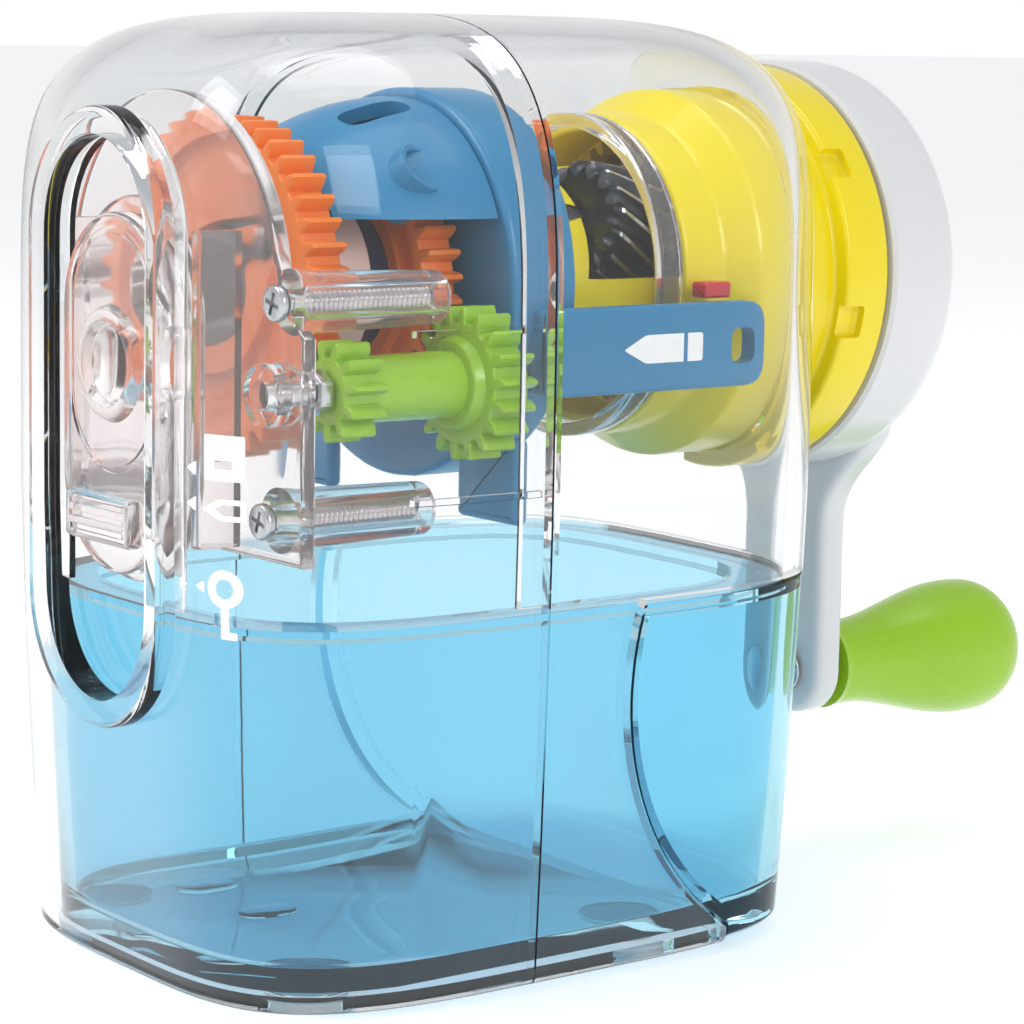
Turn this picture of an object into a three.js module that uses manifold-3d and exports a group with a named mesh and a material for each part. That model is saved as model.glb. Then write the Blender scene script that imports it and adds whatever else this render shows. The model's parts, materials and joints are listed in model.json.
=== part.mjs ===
// Clear-bodied crank pencil sharpener, as an assembly of separate solids.
// Millimetres, +Z up. The front, where the pencil goes in, faces -Y and the crank is at +Y.
// The origin is the middle of the footprint, on the surface that the sharpener stands on.
import * as THREE from 'three';
import { mergeVertices } from 'three/addons/utils/BufferGeometryUtils.js';
import Module from 'manifold-3d';

const wasm = await Module();
wasm.setup();

// ---- driving dimensions ----
const sideRoom = 1.804;
const bodyDepth = 96;
const topRoom = 7.396;
const wall = 2.2;
const planPower = 4;
const sideDraft = 0.05;
const draftHeight = 60;
const sideDomeHeight = 42;
const sideDomePower = 3.4;
const endDomeHeight = 36;
const endDomePower = 5;
const fit = 0.3;
const slide = 0.6;
const seamY = -7;
const lipReach = 3;
const lipThickness = 1.1;

const axisZ = 86;
const pencilBore = 9;

const gateTravel = 9;
const gateHalfWidth = 12;
const gateTop = 18.5;
const gateBottom = 26;
const gateFlange = 2.2;
const gatePlate = 2;
const plateSetBack = 0.349;
const bezelWidth = 3.4;
const bezelProud = 1.6;
const openingBelowGate = 15.5;

const gearModule = 0.96;
const rearTeeth = 36;
const bigTeeth = 18;
const smallTeeth = 11;
const frontTeeth = 43;
const gearThickness = 5;
const transferAngle = -25;
const transferTubeRadius = 4.2;
const shaftRadius = 1.5;
const shaftBossRadius = 3.8;

const cutterModule = 0.9;
const pinionTeeth = 20;
const ringTeeth = 40;
const pinionThickness = 2.4;
const ringHalf = 1.3;
const cutterGap = 2.2;
const cutterRadius = 8;
const cutterLength = 18;
const cutterFlutes = 12;
const cutterTwist = 42;
const cutterTilt = 10.5;
const cutterAngle = 38;
const axleRadius = 1.6;
const carrierRadius = 14.5;

const jawRadius = 7.4;
const spindleRadius = 9;
const spindleBore = 5.4;
const sleeveRadius = 11.5;
const bellSetIn = 0.42;
const bellDepth = 10;
const armReach = 39;
const cutterSetBack = 22;
const housingSetBack = 31;
const carrierLead = 6.7;
const flangeProud = 2.5;
const flangeWidth = 7.5;
const flangeNotches = 8;
const crankRadius = 59;
const crankDiscDepth = 14.5;
const crankWall = 2.4;
const crankShaftRadius = 3.1;
const crankScrewRadius = 1.4;
const bushRadius = 6.1;
const capRadius = 6.1;
const armWidth = 13;
const armThickness = 5.5;
const knobLength = 36;
const knobNeck = 6.2;
const knobBulb = 10;
const knobPinRadius = 2.2;

const rimZ = 47.5;
const drawerWall = 2;
const drawerFlange = 3.4;
const drawerRim = 1.8;
const floorThickness = 1.9;
const cutoutRadius = 38;
const cutoutDepth = 41.5;
const cutoutCentreZ = 36;
const postRadius = 3.6;
const postLowX = 23;
const postDrop = 26;
const screwRadius = 1.3;
const screwHead = 2.2;
const footRadius = 5;
const footX = 22;
const footFrontY = -32;
const footProud = 0.6;
const footRecess = 0.9;

// ---- radii and places that follow from the gears ----
const DEG = Math.PI / 180;
const gearTip = (teeth, module) => module * (teeth / 2 + 0.9);
const frontTip = gearTip(frontTeeth, gearModule);
const postTopX = frontTip + postRadius + fit + 0.1;
const plateRadius = frontTip + 2.9;
const postLowZ = axisZ - postDrop;
const ringRoot = ringTeeth * cutterModule / 2 + 1.4;
const housingRimRadius = ringRoot + 2.6;
const housingRadius = ringRoot + 6.1;
const flangeRadius = housingRadius + flangeProud;
const crankDiscRadius = flangeRadius + 0.6;
const gearDistance = (rearTeeth + bigTeeth) * gearModule / 2;
const bellRadius = gearDistance - bellSetIn;
const armX = bellRadius + 2.1;
const transferReach = gearDistance * Math.cos(transferAngle * DEG) + gearTip(bigTeeth, gearModule);
const bodyWidth = 2 * (transferReach + sideRoom + wall);
const bodyHeight = axisZ + plateRadius + topRoom + wall;
const sideDomeStart = bodyHeight - sideDomeHeight;
const endDomeStart = bodyHeight - endDomeHeight;

// ---- places along the pencil's axis, front to back ----
const frontFaceY = -bodyDepth / 2;
const backFaceY = bodyDepth / 2;
const gateY = frontFaceY + wall + slide + 1.6;
// The gearbox plate stands behind the body's rounded front corners, at the height of its upper posts.
const corner = planAt(axisZ + postRadius, wall);
const cornerShare = (postTopX + postRadius) / corner.halfWidth;
const cornerY = -corner.halfDepth * (1 - cornerShare ** planPower) ** (1 / planPower);
const plateY = cornerY + plateSetBack;
const plateThickness = 2;
const frontGearY = plateY + plateThickness + 5;
const rearGearY = seamY - 5;
const bellY = rearGearY + gearThickness + 2;
const armEndY = bellY + armReach;
const housingFrontY = bellY + housingSetBack;
const cutterFrontY = bellY + cutterSetBack;
const pinionY = cutterFrontY + cutterLength + 1.6;
const flangeY = backFaceY + 1.8;
const crankY = flangeY + flangeWidth + slide;
const crankBackY = crankY + crankDiscDepth;

const group = new THREE.Group();

// ---- geometry helpers ----
function tidy(geometry) {
  geometry.deleteAttribute('normal');
  geometry.deleteAttribute('uv');
  const merged = mergeVertices(geometry, 1e-4);
  const position = merged.attributes.position;
  const index = merged.index.array;
  const corner = [new THREE.Vector3(), new THREE.Vector3(), new THREE.Vector3()];
  const kept = [];
  let volume = 0;
  for (let i = 0; i < index.length; i += 3) {
    const [a, b, c] = [index[i], index[i + 1], index[i + 2]];
    if (a === b || b === c || c === a) continue;
    kept.push(a, b, c);
    corner[0].fromBufferAttribute(position, a);
    corner[1].fromBufferAttribute(position, b);
    corner[2].fromBufferAttribute(position, c);
    volume += corner[0].dot(corner[1].cross(corner[2]));
  }
  merged.setIndex(volume < 0 ? kept.reverse() : kept);
  return merged;
}

function solid(geometry) {
  const closed = tidy(geometry);
  return new wasm.Manifold(new wasm.Mesh({
    numProp: 3,
    vertProperties: new Float32Array(closed.attributes.position.array),
    triVerts: new Uint32Array(closed.index.array),
  }));
}

function shapeOf(body) {
  const mesh = body.getMesh();
  const geometry = new THREE.BufferGeometry();
  const places = new Float32Array(mesh.vertProperties);
  geometry.setAttribute('position', new THREE.BufferAttribute(places, 3));
  geometry.setIndex(Array.from(mesh.triVerts));
  return geometry;
}

const join = (first, ...others) => others.reduce((sum, other) => sum.add(other), first);
const cut = (first, ...others) => others.reduce((rest, other) => rest.subtract(other), first);

function put(name, body, color, roughness = 0.4, metalness = 0) {
  const geometry = body instanceof THREE.BufferGeometry ? tidy(body) : shapeOf(body);
  geometry.computeVertexNormals();
  const finish = new THREE.MeshStandardMaterial({ color, roughness, metalness });
  const mesh = new THREE.Mesh(geometry, finish);
  mesh.name = name;
  group.add(mesh);
}

function box(x0, x1, y0, y1, z0, z1) {
  const geometry = new THREE.BoxGeometry(x1 - x0, y1 - y0, z1 - z0);
  return solid(geometry.translate((x0 + x1) / 2, (y0 + y1) / 2, (z0 + z1) / 2));
}

// Turned about a line along Y. The profile is a loop of [radius, y].
function turned(profile, x = 0, z = axisZ, segments = 40) {
  const points = profile.map(([radius, y]) => new THREE.Vector2(radius, y));
  const onAxis = profile[0][0] === 0 && profile[profile.length - 1][0] === 0;
  if (!onAxis) points.push(points[0].clone());
  return new THREE.LatheGeometry(points, segments).translate(x, 0, z);
}

const rod = (radius, y0, y1, x = 0, z = axisZ, segments = 24) =>
  solid(turned([[0, y0], [radius, y0], [radius, y1], [0, y1]], x, z, segments));

const tube = (outer, inner, y0, y1, x = 0, z = axisZ, segments = 32) =>
  solid(turned([[inner, y0], [outer, y0], [outer, y1], [inner, y1]], x, z, segments));

// A flat outline in X and Z, given depth along Y.
function plateAlongY(shape, y0, y1, curveSegments = 10) {
  const settings = { depth: y1 - y0, bevelEnabled: false, curveSegments };
  const geometry = new THREE.ExtrudeGeometry(shape, settings);
  return geometry.rotateX(Math.PI / 2).translate(0, y1, 0);
}

// A stadium outline, upright, with half-round ends.
function stadium(halfWidth, low, high) {
  const shape = new THREE.Shape();
  shape.moveTo(-halfWidth, low + halfWidth);
  shape.absarc(0, low + halfWidth, halfWidth, Math.PI, 2 * Math.PI, false);
  shape.lineTo(halfWidth, high - halfWidth);
  shape.absarc(0, high - halfWidth, halfWidth, 0, Math.PI, false);
  shape.closePath();
  return shape;
}

// ---- the body's outer form ----
// At each height the plan is a superellipse. Its half sizes close over in a dome at the top.
function planAt(z, inset) {
  const top = bodyHeight - inset;
  const draft = 1 - sideDraft * Math.max(draftHeight - z, 0) ** 1.5 / draftHeight ** 1.5;
  const sideRise = Math.min(Math.max(z - sideDomeStart, 0) / (top - sideDomeStart), 1);
  const endRise = Math.min(Math.max(z - endDomeStart, 0) / (top - endDomeStart), 1);
  const narrowing = (1 - sideRise ** sideDomePower) ** (1 / sideDomePower);
  const shortening = (1 - endRise ** endDomePower) ** (1 / endDomePower);
  return {
    halfWidth: (bodyWidth / 2 * draft - inset) * narrowing,
    halfDepth: (bodyDepth / 2 * draft - inset) * shortening,
  };
}

// The form's half width at one place along the depth and one height.
function halfWidthAt(y, z, inset) {
  const plan = planAt(z, inset);
  return plan.halfWidth * Math.max(1 - (Math.abs(y) / plan.halfDepth) ** planPower, 0) ** (1 / planPower);
}

const bodyLevels = [0.2, 0.48, 0.7, 0.84, 0.93, 0.98, 0.998];
const planSteps = 32;

function bodyForm(inset, low, high = bodyHeight - inset) {
  const levels = [low];
  for (const z of [2.5, 30, draftHeight, sideDomeStart]) {
    if (z > low + 1 && z < high - 1) levels.push(z);
  }
  for (const share of bodyLevels) {
    const z = sideDomeStart + share * (bodyHeight - inset - sideDomeStart);
    if (z > low + 1 && z < high) levels.push(z);
  }
  if (high < bodyHeight - inset) levels.push(high);
  const points = [];
  for (const z of levels) {
    const plan = planAt(z, inset);
    for (let step = 0; step < planSteps; step += 1) {
      const angle = 2 * Math.PI * step / planSteps;
      const [c, s] = [Math.cos(angle), Math.sin(angle)];
      points.push(plan.halfWidth * Math.sign(c) * Math.abs(c) ** (2 / planPower));
      points.push(plan.halfDepth * Math.sign(s) * Math.abs(s) ** (2 / planPower));
      points.push(z);
    }
  }
  const index = [];
  const last = levels.length - 1;
  for (let row = 0; row < last; row += 1) {
    for (let step = 0; step < planSteps; step += 1) {
      const a = row * planSteps + step;
      const b = row * planSteps + (step + 1) % planSteps;
      index.push(a, b, b + planSteps, a, b + planSteps, a + planSteps);
    }
  }
  for (const [row, flip] of [[0, true], [last, false]]) {
    const centre = points.length / 3;
    points.push(0, 0, levels[row]);
    for (let step = 0; step < planSteps; step += 1) {
      const a = row * planSteps + step;
      const b = row * planSteps + (step + 1) % planSteps;
      index.push(centre, flip ? b : a, flip ? a : b);
    }
  }
  const geometry = new THREE.BufferGeometry();
  geometry.setAttribute('position', new THREE.Float32BufferAttribute(points, 3));
  geometry.setIndex(index);
  return solid(geometry);
}

// ---- gears ----
// Half the angle that a tooth fills at a radius, on an involute from the base circle.
function toothHalfAngle(radius, teeth, module, share) {
  const pitch = teeth * module / 2;
  const base = pitch * Math.cos(20 * DEG);
  const involute = (r) => {
    const pressure = Math.acos(Math.min(base / Math.max(r, base), 1));
    return Math.tan(pressure) - pressure;
  };
  return share * Math.PI / teeth + involute(pitch) - involute(radius);
}

function gearOutline(teeth, module, phase, share = 0.84, inner = false) {
  const pitch = teeth * module / 2;
  const tip = inner ? pitch - 0.75 * module : pitch + 0.9 * module;
  const root = inner ? pitch + 1.15 * module : pitch - 1.2 * module;
  const points = [];
  const corners = (inner ? innerTooth : outerTooth)(teeth, module, share, root, tip);
  for (let tooth = 0; tooth < teeth; tooth += 1) {
    const middle = 2 * Math.PI * tooth / teeth + phase;
    for (const [radius, angle] of corners) {
      const turn = middle + angle;
      points.push(new THREE.Vector2(radius * Math.cos(turn), radius * Math.sin(turn)));
    }
  }
  return points;
}

function outerTooth(teeth, module, share, root, tip) {
  const [low, high] = [root, tip].map((radius) => toothHalfAngle(radius, teeth, module, share / 2));
  return [[root, -low], [tip, -high], [tip, high], [root, low]];
}

function innerTooth(teeth, module, share, root, tip) {
  const pitch = teeth * module / 2;
  const half = share * Math.PI / teeth / 2;
  const lean = Math.tan(20 * DEG);
  const at = (radius) => half + (radius - pitch) * lean / pitch;
  return [[root, -at(root)], [tip, -at(tip)], [tip, at(tip)], [root, at(root)]];
}

function gear(teeth, module, phase, y0, y1, x, z, bore = 0) {
  const shape = new THREE.Shape(gearOutline(teeth, module, phase));
  if (bore) {
    const hole = new THREE.Path();
    hole.absarc(0, 0, bore, 0, 2 * Math.PI, true);
    shape.holes.push(hole);
  }
  return solid(plateAlongY(shape, y0, y1).translate(x, 0, z));
}

const transferX = gearDistance * Math.cos(transferAngle * DEG);
const transferZ = axisZ + gearDistance * Math.sin(transferAngle * DEG);

const postEndY = frontGearY + gearThickness + 9.5;
const posts = [
  ['top_right', postTopX, axisZ], ['top_left', -postTopX, axisZ],
  ['low_right', postLowX, postLowZ], ['low_left', -postLowX, postLowZ],
];

// ---- clear shells ----
const gateZ = axisZ - gateTravel;
const openingLow = gateZ - gateBottom - openingBelowGate;
const openingHigh = gateZ + gateTop + gateTravel + 0.5;
const openingHalf = gateHalfWidth + slide;

const outerForm = bodyForm(0, footProud);
const innerForm = bodyForm(wall, -10);
const shellForm = cut(outerForm, innerForm);
const far = 2 * (bodyWidth + bodyDepth + bodyHeight);
const bezelY = frontFaceY - bezelProud;
const bezelOutline = stadium(openingHalf + bezelWidth, openingLow - bezelWidth, openingHigh + bezelWidth);
const bezel = cut(
  solid(plateAlongY(bezelOutline, bezelY, frontFaceY + wall + 1.4)),
  innerForm.intersect(box(-far, far, -far, 0, -5, rimZ + 1)),
);
const openingOutline = stadium(openingHalf, openingLow, openingHigh);
const opening = solid(plateAlongY(openingOutline, bezelY - 1, gateY + gatePlate + 1));
const frontHalf = box(-far, far, -far, seamY, -5, far);
put('front_shell', cut(join(shellForm.intersect(frontHalf), bezel), opening), 0xeef4f6, 0.08);

// The rear wall and sides are open round the drawer. The opening's side edge is an arc that ends
// in a straight toe at the foot of the walls.
const cutoutCentreY = backFaceY - cutoutDepth + cutoutRadius;
const toeY = cutoutCentreY - cutoutRadius / 2;
function drawerWindow(gap) {
  const arc = new THREE.Shape();
  const radius = cutoutRadius - gap;
  arc.absarc(cutoutCentreY, cutoutCentreZ, radius, Math.PI / 2, 3 * Math.PI / 2, false);
  arc.lineTo(cutoutCentreY + 20, cutoutCentreZ - radius);
  arc.lineTo(cutoutCentreY + 20, cutoutCentreZ + radius);
  arc.closePath();
  const settings = { depth: 2 * far, bevelEnabled: false, curveSegments: 24 };
  const geometry = new THREE.ExtrudeGeometry(arc, settings);
  geometry.rotateX(Math.PI / 2).rotateZ(Math.PI / 2).translate(-far, 0, 0);
  const round = solid(geometry).intersect(box(-far, far, -far, far, -5, rimZ + slide - gap));
  return join(round, box(-far, far, toeY + gap, far, -5, cutoutCentreZ));
}

// A thin lip on the rear shell locates inside the front shell, above the drawer.
const lipInset = wall + fit;
const lip = join(
  cut(bodyForm(wall - 0.4, -1), bodyForm(lipInset + lipThickness, -10))
    .intersect(box(-far, far, seamY + fit, seamY + 2.4, 0, far)),
  cut(bodyForm(lipInset, -1), bodyForm(lipInset + lipThickness, -10))
    .intersect(box(-far, far, seamY - lipReach, seamY + 1, 0, far)),
).intersect(box(-far, far, -far, far, rimZ + slide + fit, far));
const rearHalf = box(-far, far, seamY + fit, far, -5, far);
const ringHole = rod(housingRadius + fit, backFaceY / 2, far, 0, axisZ, 56);
const rearForm = join(shellForm.intersect(rearHalf), lip);
put('rear_shell', cut(rearForm, drawerWindow(0), ringHole), 0xeef4f6, 0.08);

// ---- base and feet ----
const baseZ = footProud + 0.2;
const footRearY = toeY - footRadius - 3.5;
const footPlaces = [
  ['front_left', -footX, footFrontY], ['front_right', footX, footFrontY],
  ['rear_left', -footX, footRearY], ['rear_right', footX, footRearY],
];
function upright(radius, z0, z1, x, y) {
  const geometry = new THREE.CylinderGeometry(radius, radius, z1 - z0, 24);
  return solid(geometry.rotateX(Math.PI / 2).translate(x, y, (z0 + z1) / 2));
}
const footTopZ = baseZ + footRecess;
let base = bodyForm(wall + fit, baseZ, baseZ + floorThickness);
base = base.intersect(box(-far, far, -far, toeY - fit, 0, far));
for (const [, x, y] of footPlaces) base = base.subtract(upright(footRadius + fit, 0, footTopZ, x, y));
put('base_plate', base, 0xdfeef4, 0.15);
for (const [place, x, y] of footPlaces) {
  put('foot_' + place, upright(footRadius, 0, footTopZ - fit, x, y), 0xd9dde0, 0.85);
}

// ---- drawer ----
const drawerInset = wall + slide;
const drawerFloorZ = baseZ + floorThickness + 0.5;
const flushInset = 0.2;

// The sliding part's sides lean in towards its floor, so that they pass the shell's side walls.
function slideForm(inset) {
  const low = halfWidthAt(toeY, drawerFloorZ, wall) - slide - inset;
  const high = planAt(rimZ, drawerInset).halfWidth - inset;
  const halfAt = (z) => low + (high - low) * (z - drawerFloorZ) / (rimZ - drawerFloorZ);
  const shape = new THREE.Shape();
  shape.moveTo(-halfAt(0), 0);
  shape.lineTo(halfAt(0), 0);
  shape.lineTo(halfAt(2 * rimZ), 2 * rimZ);
  shape.lineTo(-halfAt(2 * rimZ), 2 * rimZ);
  shape.closePath();
  return solid(plateAlongY(shape, -far, far));
}

const drawerOuter = join(
  bodyForm(drawerInset, drawerFloorZ, rimZ).intersect(slideForm(0)),
  bodyForm(flushInset, footProud + 0.6, rimZ).intersect(drawerWindow(slide)),
);
const cavityLow = drawerFloorZ + drawerWall;
const cavityHigh = rimZ - drawerRim;
const cavity = join(
  bodyForm(drawerInset + drawerWall, cavityLow, cavityHigh).intersect(slideForm(drawerWall)),
  bodyForm(flushInset + drawerWall, cavityLow, cavityHigh).intersect(drawerWindow(slide + drawerWall)),
);
const mouth = bodyForm(drawerInset + drawerWall + drawerFlange, cavityHigh - 2, rimZ + 5);
put('drawer', cut(drawerOuter, cavity, mouth), 0x8fd3ee, 0.1);

// ---- pencil gate, which is lowered in its locked place ----
const gateLowZ = gateZ - gateBottom;
const gateHighZ = gateZ + gateTop;
const gateBehind = stadium(gateHalfWidth + gateFlange, gateLowZ - 1.2, gateHighZ + 2);
const gateForm = join(
  solid(plateAlongY(stadium(gateHalfWidth, gateLowZ, gateHighZ), gateY - 3, gateY + 0.2)),
  solid(plateAlongY(gateBehind, gateY, gateY + gatePlate)),
  tube(pencilBore / 2 + 2.1, pencilBore / 2 + 0.5, gateY - 4.2, gateY - 2.9, 0, gateZ),
  box(-7.5, 7.5, gateY - 5.4, gateY - 2.8, gateLowZ + 4, gateLowZ + 10),
);
put('pencil_gate', cut(gateForm, rod(pencilBore / 2, gateY - 8, gateY + 6, 0, gateZ)), 0xf1e6e4, 0.12);

// ---- gearbox plate with its screw posts ----
const plateHalf = postTopX + 1.9;
const plateShape = new THREE.Shape();
plateShape.absarc(0, axisZ, plateRadius, 0, Math.PI, false);
plateShape.lineTo(-plateHalf, axisZ - 4);
plateShape.lineTo(-plateHalf, postLowZ - 5);
plateShape.lineTo(plateHalf, postLowZ - 5);
plateShape.lineTo(plateHalf, axisZ - 4);
plateShape.closePath();
let gearPlate = solid(plateAlongY(plateShape, plateY, plateY + plateThickness, 20));
for (const [, x, z] of posts) gearPlate = gearPlate.add(rod(postRadius, plateY - 0.2, postEndY, x, z, 20));
gearPlate = gearPlate.add(rod(shaftBossRadius, plateY - 2, plateY + 2.6, transferX, transferZ, 20));
for (const side of [-1, 1]) {
  const railX = side * (gateHalfWidth + gateFlange + fit + 1);
  gearPlate = gearPlate.add(box(railX - 1, railX + 1, gateY, plateY + 0.5, postLowZ - 4, axisZ + 8));
}
for (const [, x, z] of posts) {
  gearPlate = gearPlate.subtract(rod(screwRadius + fit, plateY - 3, postEndY + 2, x, z, 16));
}
gearPlate = cut(gearPlate, rod(pencilBore / 2 + 1, plateY - 3, plateY + 5),
  rod(shaftRadius + fit, plateY - 1, plateY + 5, transferX, transferZ, 16));
put('gearbox_plate', gearPlate, 0xf2ebe9, 0.12);
for (const [place, x, z] of posts) {
  const head = [
    [0, plateY - 1.8], [screwHead, plateY - 1.8], [screwHead, plateY - 0.5],
    [screwRadius, plateY - 0.5], [screwRadius, postEndY - 1.5], [0, postEndY - 1.5],
  ];
  put('gearbox_screw_' + place, solid(turned(head, x, z, 16)), 0xb9bec4, 0.3, 0.9);
}

// ---- transfer gears on their steel shaft ----
// Each wheel is turned so that a tooth of one meets a gap of the other on the line of centres.
const meshAngle = transferAngle * DEG;
const transferPhaseBig = meshAngle + Math.PI + Math.PI / bigTeeth;
const transferPhaseSmall = meshAngle + Math.PI + Math.PI / smallTeeth;
const smallEndY = frontGearY + gearThickness;
const rearGearEndY = rearGearY + gearThickness;
put('transfer_gear', cut(
  join(
    gear(bigTeeth, gearModule, transferPhaseBig, rearGearY, rearGearEndY, transferX, transferZ),
    gear(smallTeeth, gearModule, transferPhaseSmall, frontGearY, smallEndY, transferX, transferZ),
    rod(transferTubeRadius, frontGearY + 1, rearGearY + 1, transferX, transferZ, 20),
  ),
  rod(shaftRadius + fit, frontGearY - 2, rearGearEndY + 2, transferX, transferZ, 16),
), 0xa5d92a, 0.35);
const transferShaft = rod(shaftRadius, plateY - 0.4, bellY - fit, transferX, transferZ, 16);
put('transfer_shaft', transferShaft, 0xc3c7cc, 0.25, 1);
const nutRadius = shaftRadius + 1.4;
const nutShape = new THREE.CylinderGeometry(nutRadius, nutRadius, 1.8, 6);
const nut = solid(nutShape.translate(transferX, frontGearY - 1.3, transferZ));
const nutBore = rod(shaftRadius + 0.2, plateY, frontGearY, transferX, transferZ, 16);
put('transfer_nut', cut(nut, nutBore), 0xc3c7cc, 0.25, 1);

// ---- front gear and pencil chuck ----
const sleeveEndY = smallEndY + 10;
const frontGear = gear(frontTeeth, gearModule, meshAngle, frontGearY, smallEndY, 0, axisZ, jawRadius + 0.4);
put('front_gear', frontGear, 0xff8a3c, 0.4);
const chuckSleeve = tube(sleeveRadius, jawRadius + 0.6, smallEndY + fit, sleeveEndY, 0, axisZ, 32);
put('chuck_sleeve', chuckSleeve, 0xf6d9d4, 0.35);
for (let jaw = 0; jaw < 3; jaw += 1) {
  const sector = new THREE.Shape();
  const start = (jaw * 120 + 34) * DEG;
  const end = (jaw * 120 + 146) * DEG;
  sector.absarc(0, 0, jawRadius, start, end, false);
  sector.absarc(0, 0, pencilBore / 2 + 0.4, end, start, true);
  sector.closePath();
  const body = plateAlongY(sector, frontGearY + 0.5, sleeveEndY - 1, 6);
  put('chuck_jaw_' + (jaw + 1), solid(body.translate(0, 0, axisZ)), 0x3d4247, 0.6);
}

// ---- spindle, rear gear and cutter carrier: all turned by the crank ----
const spindleFrontY = sleeveEndY + 0.4;
const carrierFrontY = cutterFrontY - carrierLead;
const spindle = tube(spindleRadius, spindleBore, spindleFrontY, carrierFrontY, 0, axisZ, 32);
put('spindle_tube', spindle, 0x1c2740, 0.3);
const rearBore = spindleRadius + fit;
const rearGear = gear(rearTeeth, gearModule, meshAngle, rearGearY, rearGearEndY, 0, axisZ, rearBore);
put('rear_gear', rearGear, 0xff6a1a, 0.4);

// The cutter's line leans in towards the pencil's tip, in a plane through the main axis.
const cutterOffset = (ringTeeth - pinionTeeth) * cutterModule / 2;
function alongCutter(body) {
  const matrix = new THREE.Matrix4().makeTranslation(0, pinionY, axisZ)
    .multiply(new THREE.Matrix4().makeRotationY(-cutterAngle * DEG))
    .multiply(new THREE.Matrix4().makeTranslation(cutterOffset, 0, 0))
    .multiply(new THREE.Matrix4().makeRotationZ(cutterTilt * DEG));
  return body.transform(matrix.elements);
}
const local = (radius, y0, y1, segments = 24) => rod(radius, y0, y1, 0, 0, segments);

const carrierBackY = pinionY + pinionThickness / 2 + 1.9;
const carrierEndY = carrierBackY + 3;
const carrierCore = join(
  rod(carrierRadius, carrierFrontY + fit, carrierBackY + 0.5, 0, axisZ, 32),
  rod(carrierRadius + 2.5, carrierBackY, carrierEndY, 0, axisZ, 36),
);
const reach = -cutterLength - cutterGap;
const pocket = join(
  alongCutter(local(cutterRadius + 0.8, reach - 0.8, -1.4, 28)),
  alongCutter(local(cutterRadius + 2.2, -1.9, 1.9, 28)),
);
const skywards = alongCutter(box(0, 30, reach - 1.2, 1.9, -cutterRadius - 0.8, cutterRadius + 0.8));
const pencilSpace = solid(turned([
  [0, carrierFrontY - 2], [spindleBore - 0.2, carrierFrontY - 2], [spindleBore - 0.2, carrierFrontY + 7],
  [0.8, carrierFrontY + 27], [0, carrierFrontY + 27],
]));
const axleHole = alongCutter(local(axleRadius + fit, reach - 5, 4.6, 16));
put('cutter_carrier', cut(carrierCore, pocket, skywards, pencilSpace, axleHole), 0xf2c81e, 0.4);
put('cutter_axle', alongCutter(local(axleRadius, reach - 4.4, 4.2, 16)), 0xc3c7cc, 0.25, 1);

const flutes = new THREE.Shape();
for (let flute = 0; flute < cutterFlutes; flute += 1) {
  const angle = 2 * Math.PI * flute / cutterFlutes;
  for (const [radius, share] of [[cutterRadius - 1.1, 0], [cutterRadius, 0.68], [cutterRadius, 0.84]]) {
    const at = angle + share * 2 * Math.PI / cutterFlutes;
    const [x, y] = [radius * Math.cos(at), radius * Math.sin(at)];
    if (flute === 0 && share === 0) flutes.moveTo(x, y);
    else flutes.lineTo(x, y);
  }
}
flutes.closePath();
const bladeSettings = { depth: cutterLength, bevelEnabled: false, steps: 5 };
const cutterBlank = new THREE.ExtrudeGeometry(flutes, bladeSettings);
const cutterPoints = cutterBlank.attributes.position;
for (let i = 0; i < cutterPoints.count; i += 1) {
  const twist = cutterPoints.getZ(i) / cutterLength * cutterTwist * DEG;
  const [x, y] = [cutterPoints.getX(i), cutterPoints.getY(i)];
  cutterPoints.setX(i, x * Math.cos(twist) - y * Math.sin(twist));
  cutterPoints.setY(i, x * Math.sin(twist) + y * Math.cos(twist));
}
cutterBlank.rotateX(Math.PI / 2).translate(0, -cutterGap, 0);
const blade = cut(solid(cutterBlank), local(axleRadius + fit, reach - 2, 1, 16));
put('helical_cutter', alongCutter(blade), 0x3a3d40, 0.35, 0.9);
const pinionShape = new THREE.Shape(gearOutline(pinionTeeth, cutterModule, 0, 0.72));
const pinionBody = solid(plateAlongY(pinionShape, -pinionThickness / 2, pinionThickness / 2));
const pinion = cut(pinionBody, local(axleRadius + fit, -4, 4, 16));
put('cutter_pinion', alongCutter(pinion), 0x6f665c, 0.45, 0.3);

// ---- yellow housing with its ring gear, bush and grip flange ----
const ringPhase = cutterAngle * DEG + Math.PI / ringTeeth;
const housingProfile = [
  [ringRoot, housingFrontY], [housingRimRadius, housingFrontY], [housingRimRadius, pinionY - 4],
  [housingRadius, pinionY], [housingRadius, flangeY], [flangeRadius, flangeY],
  [flangeRadius, flangeY + flangeWidth], [bushRadius + fit, flangeY + flangeWidth],
  [bushRadius + fit, flangeY + 1], [ringRoot, flangeY - 1],
];
let housing = solid(turned(housingProfile, 0, axisZ, 48));
const ringShape = new THREE.Shape();
ringShape.absarc(0, 0, ringRoot + 0.8, 0, 2 * Math.PI, false);
const ringOutline = gearOutline(ringTeeth, cutterModule, ringPhase, 0.66, true);
ringShape.holes.push(new THREE.Path(ringOutline.reverse()));
const ringGear = solid(plateAlongY(ringShape, pinionY - ringHalf, pinionY + ringHalf, 10));
housing = housing.add(ringGear.translate([0, 0, axisZ]));
for (let notch = 0; notch < flangeNotches; notch += 1) {
  const bite = box(-2, 2, flangeY - 1, flangeY + 3.4, flangeRadius - 1.4, flangeRadius + 2);
  const turn = notch * 360 / flangeNotches + 12;
  housing = housing.subtract(bite.rotate([0, turn, 0]).translate([0, 0, axisZ]));
}
put('ring_housing', housing, 0xf7d417, 0.35);
const bushY = flangeY + 1.2;
const bush = tube(bushRadius, crankShaftRadius + fit, bushY, flangeY + flangeWidth - 0.2, 0, axisZ, 28);
put('rear_bush', bush, 0xf4f4f0, 0.5);
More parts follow.
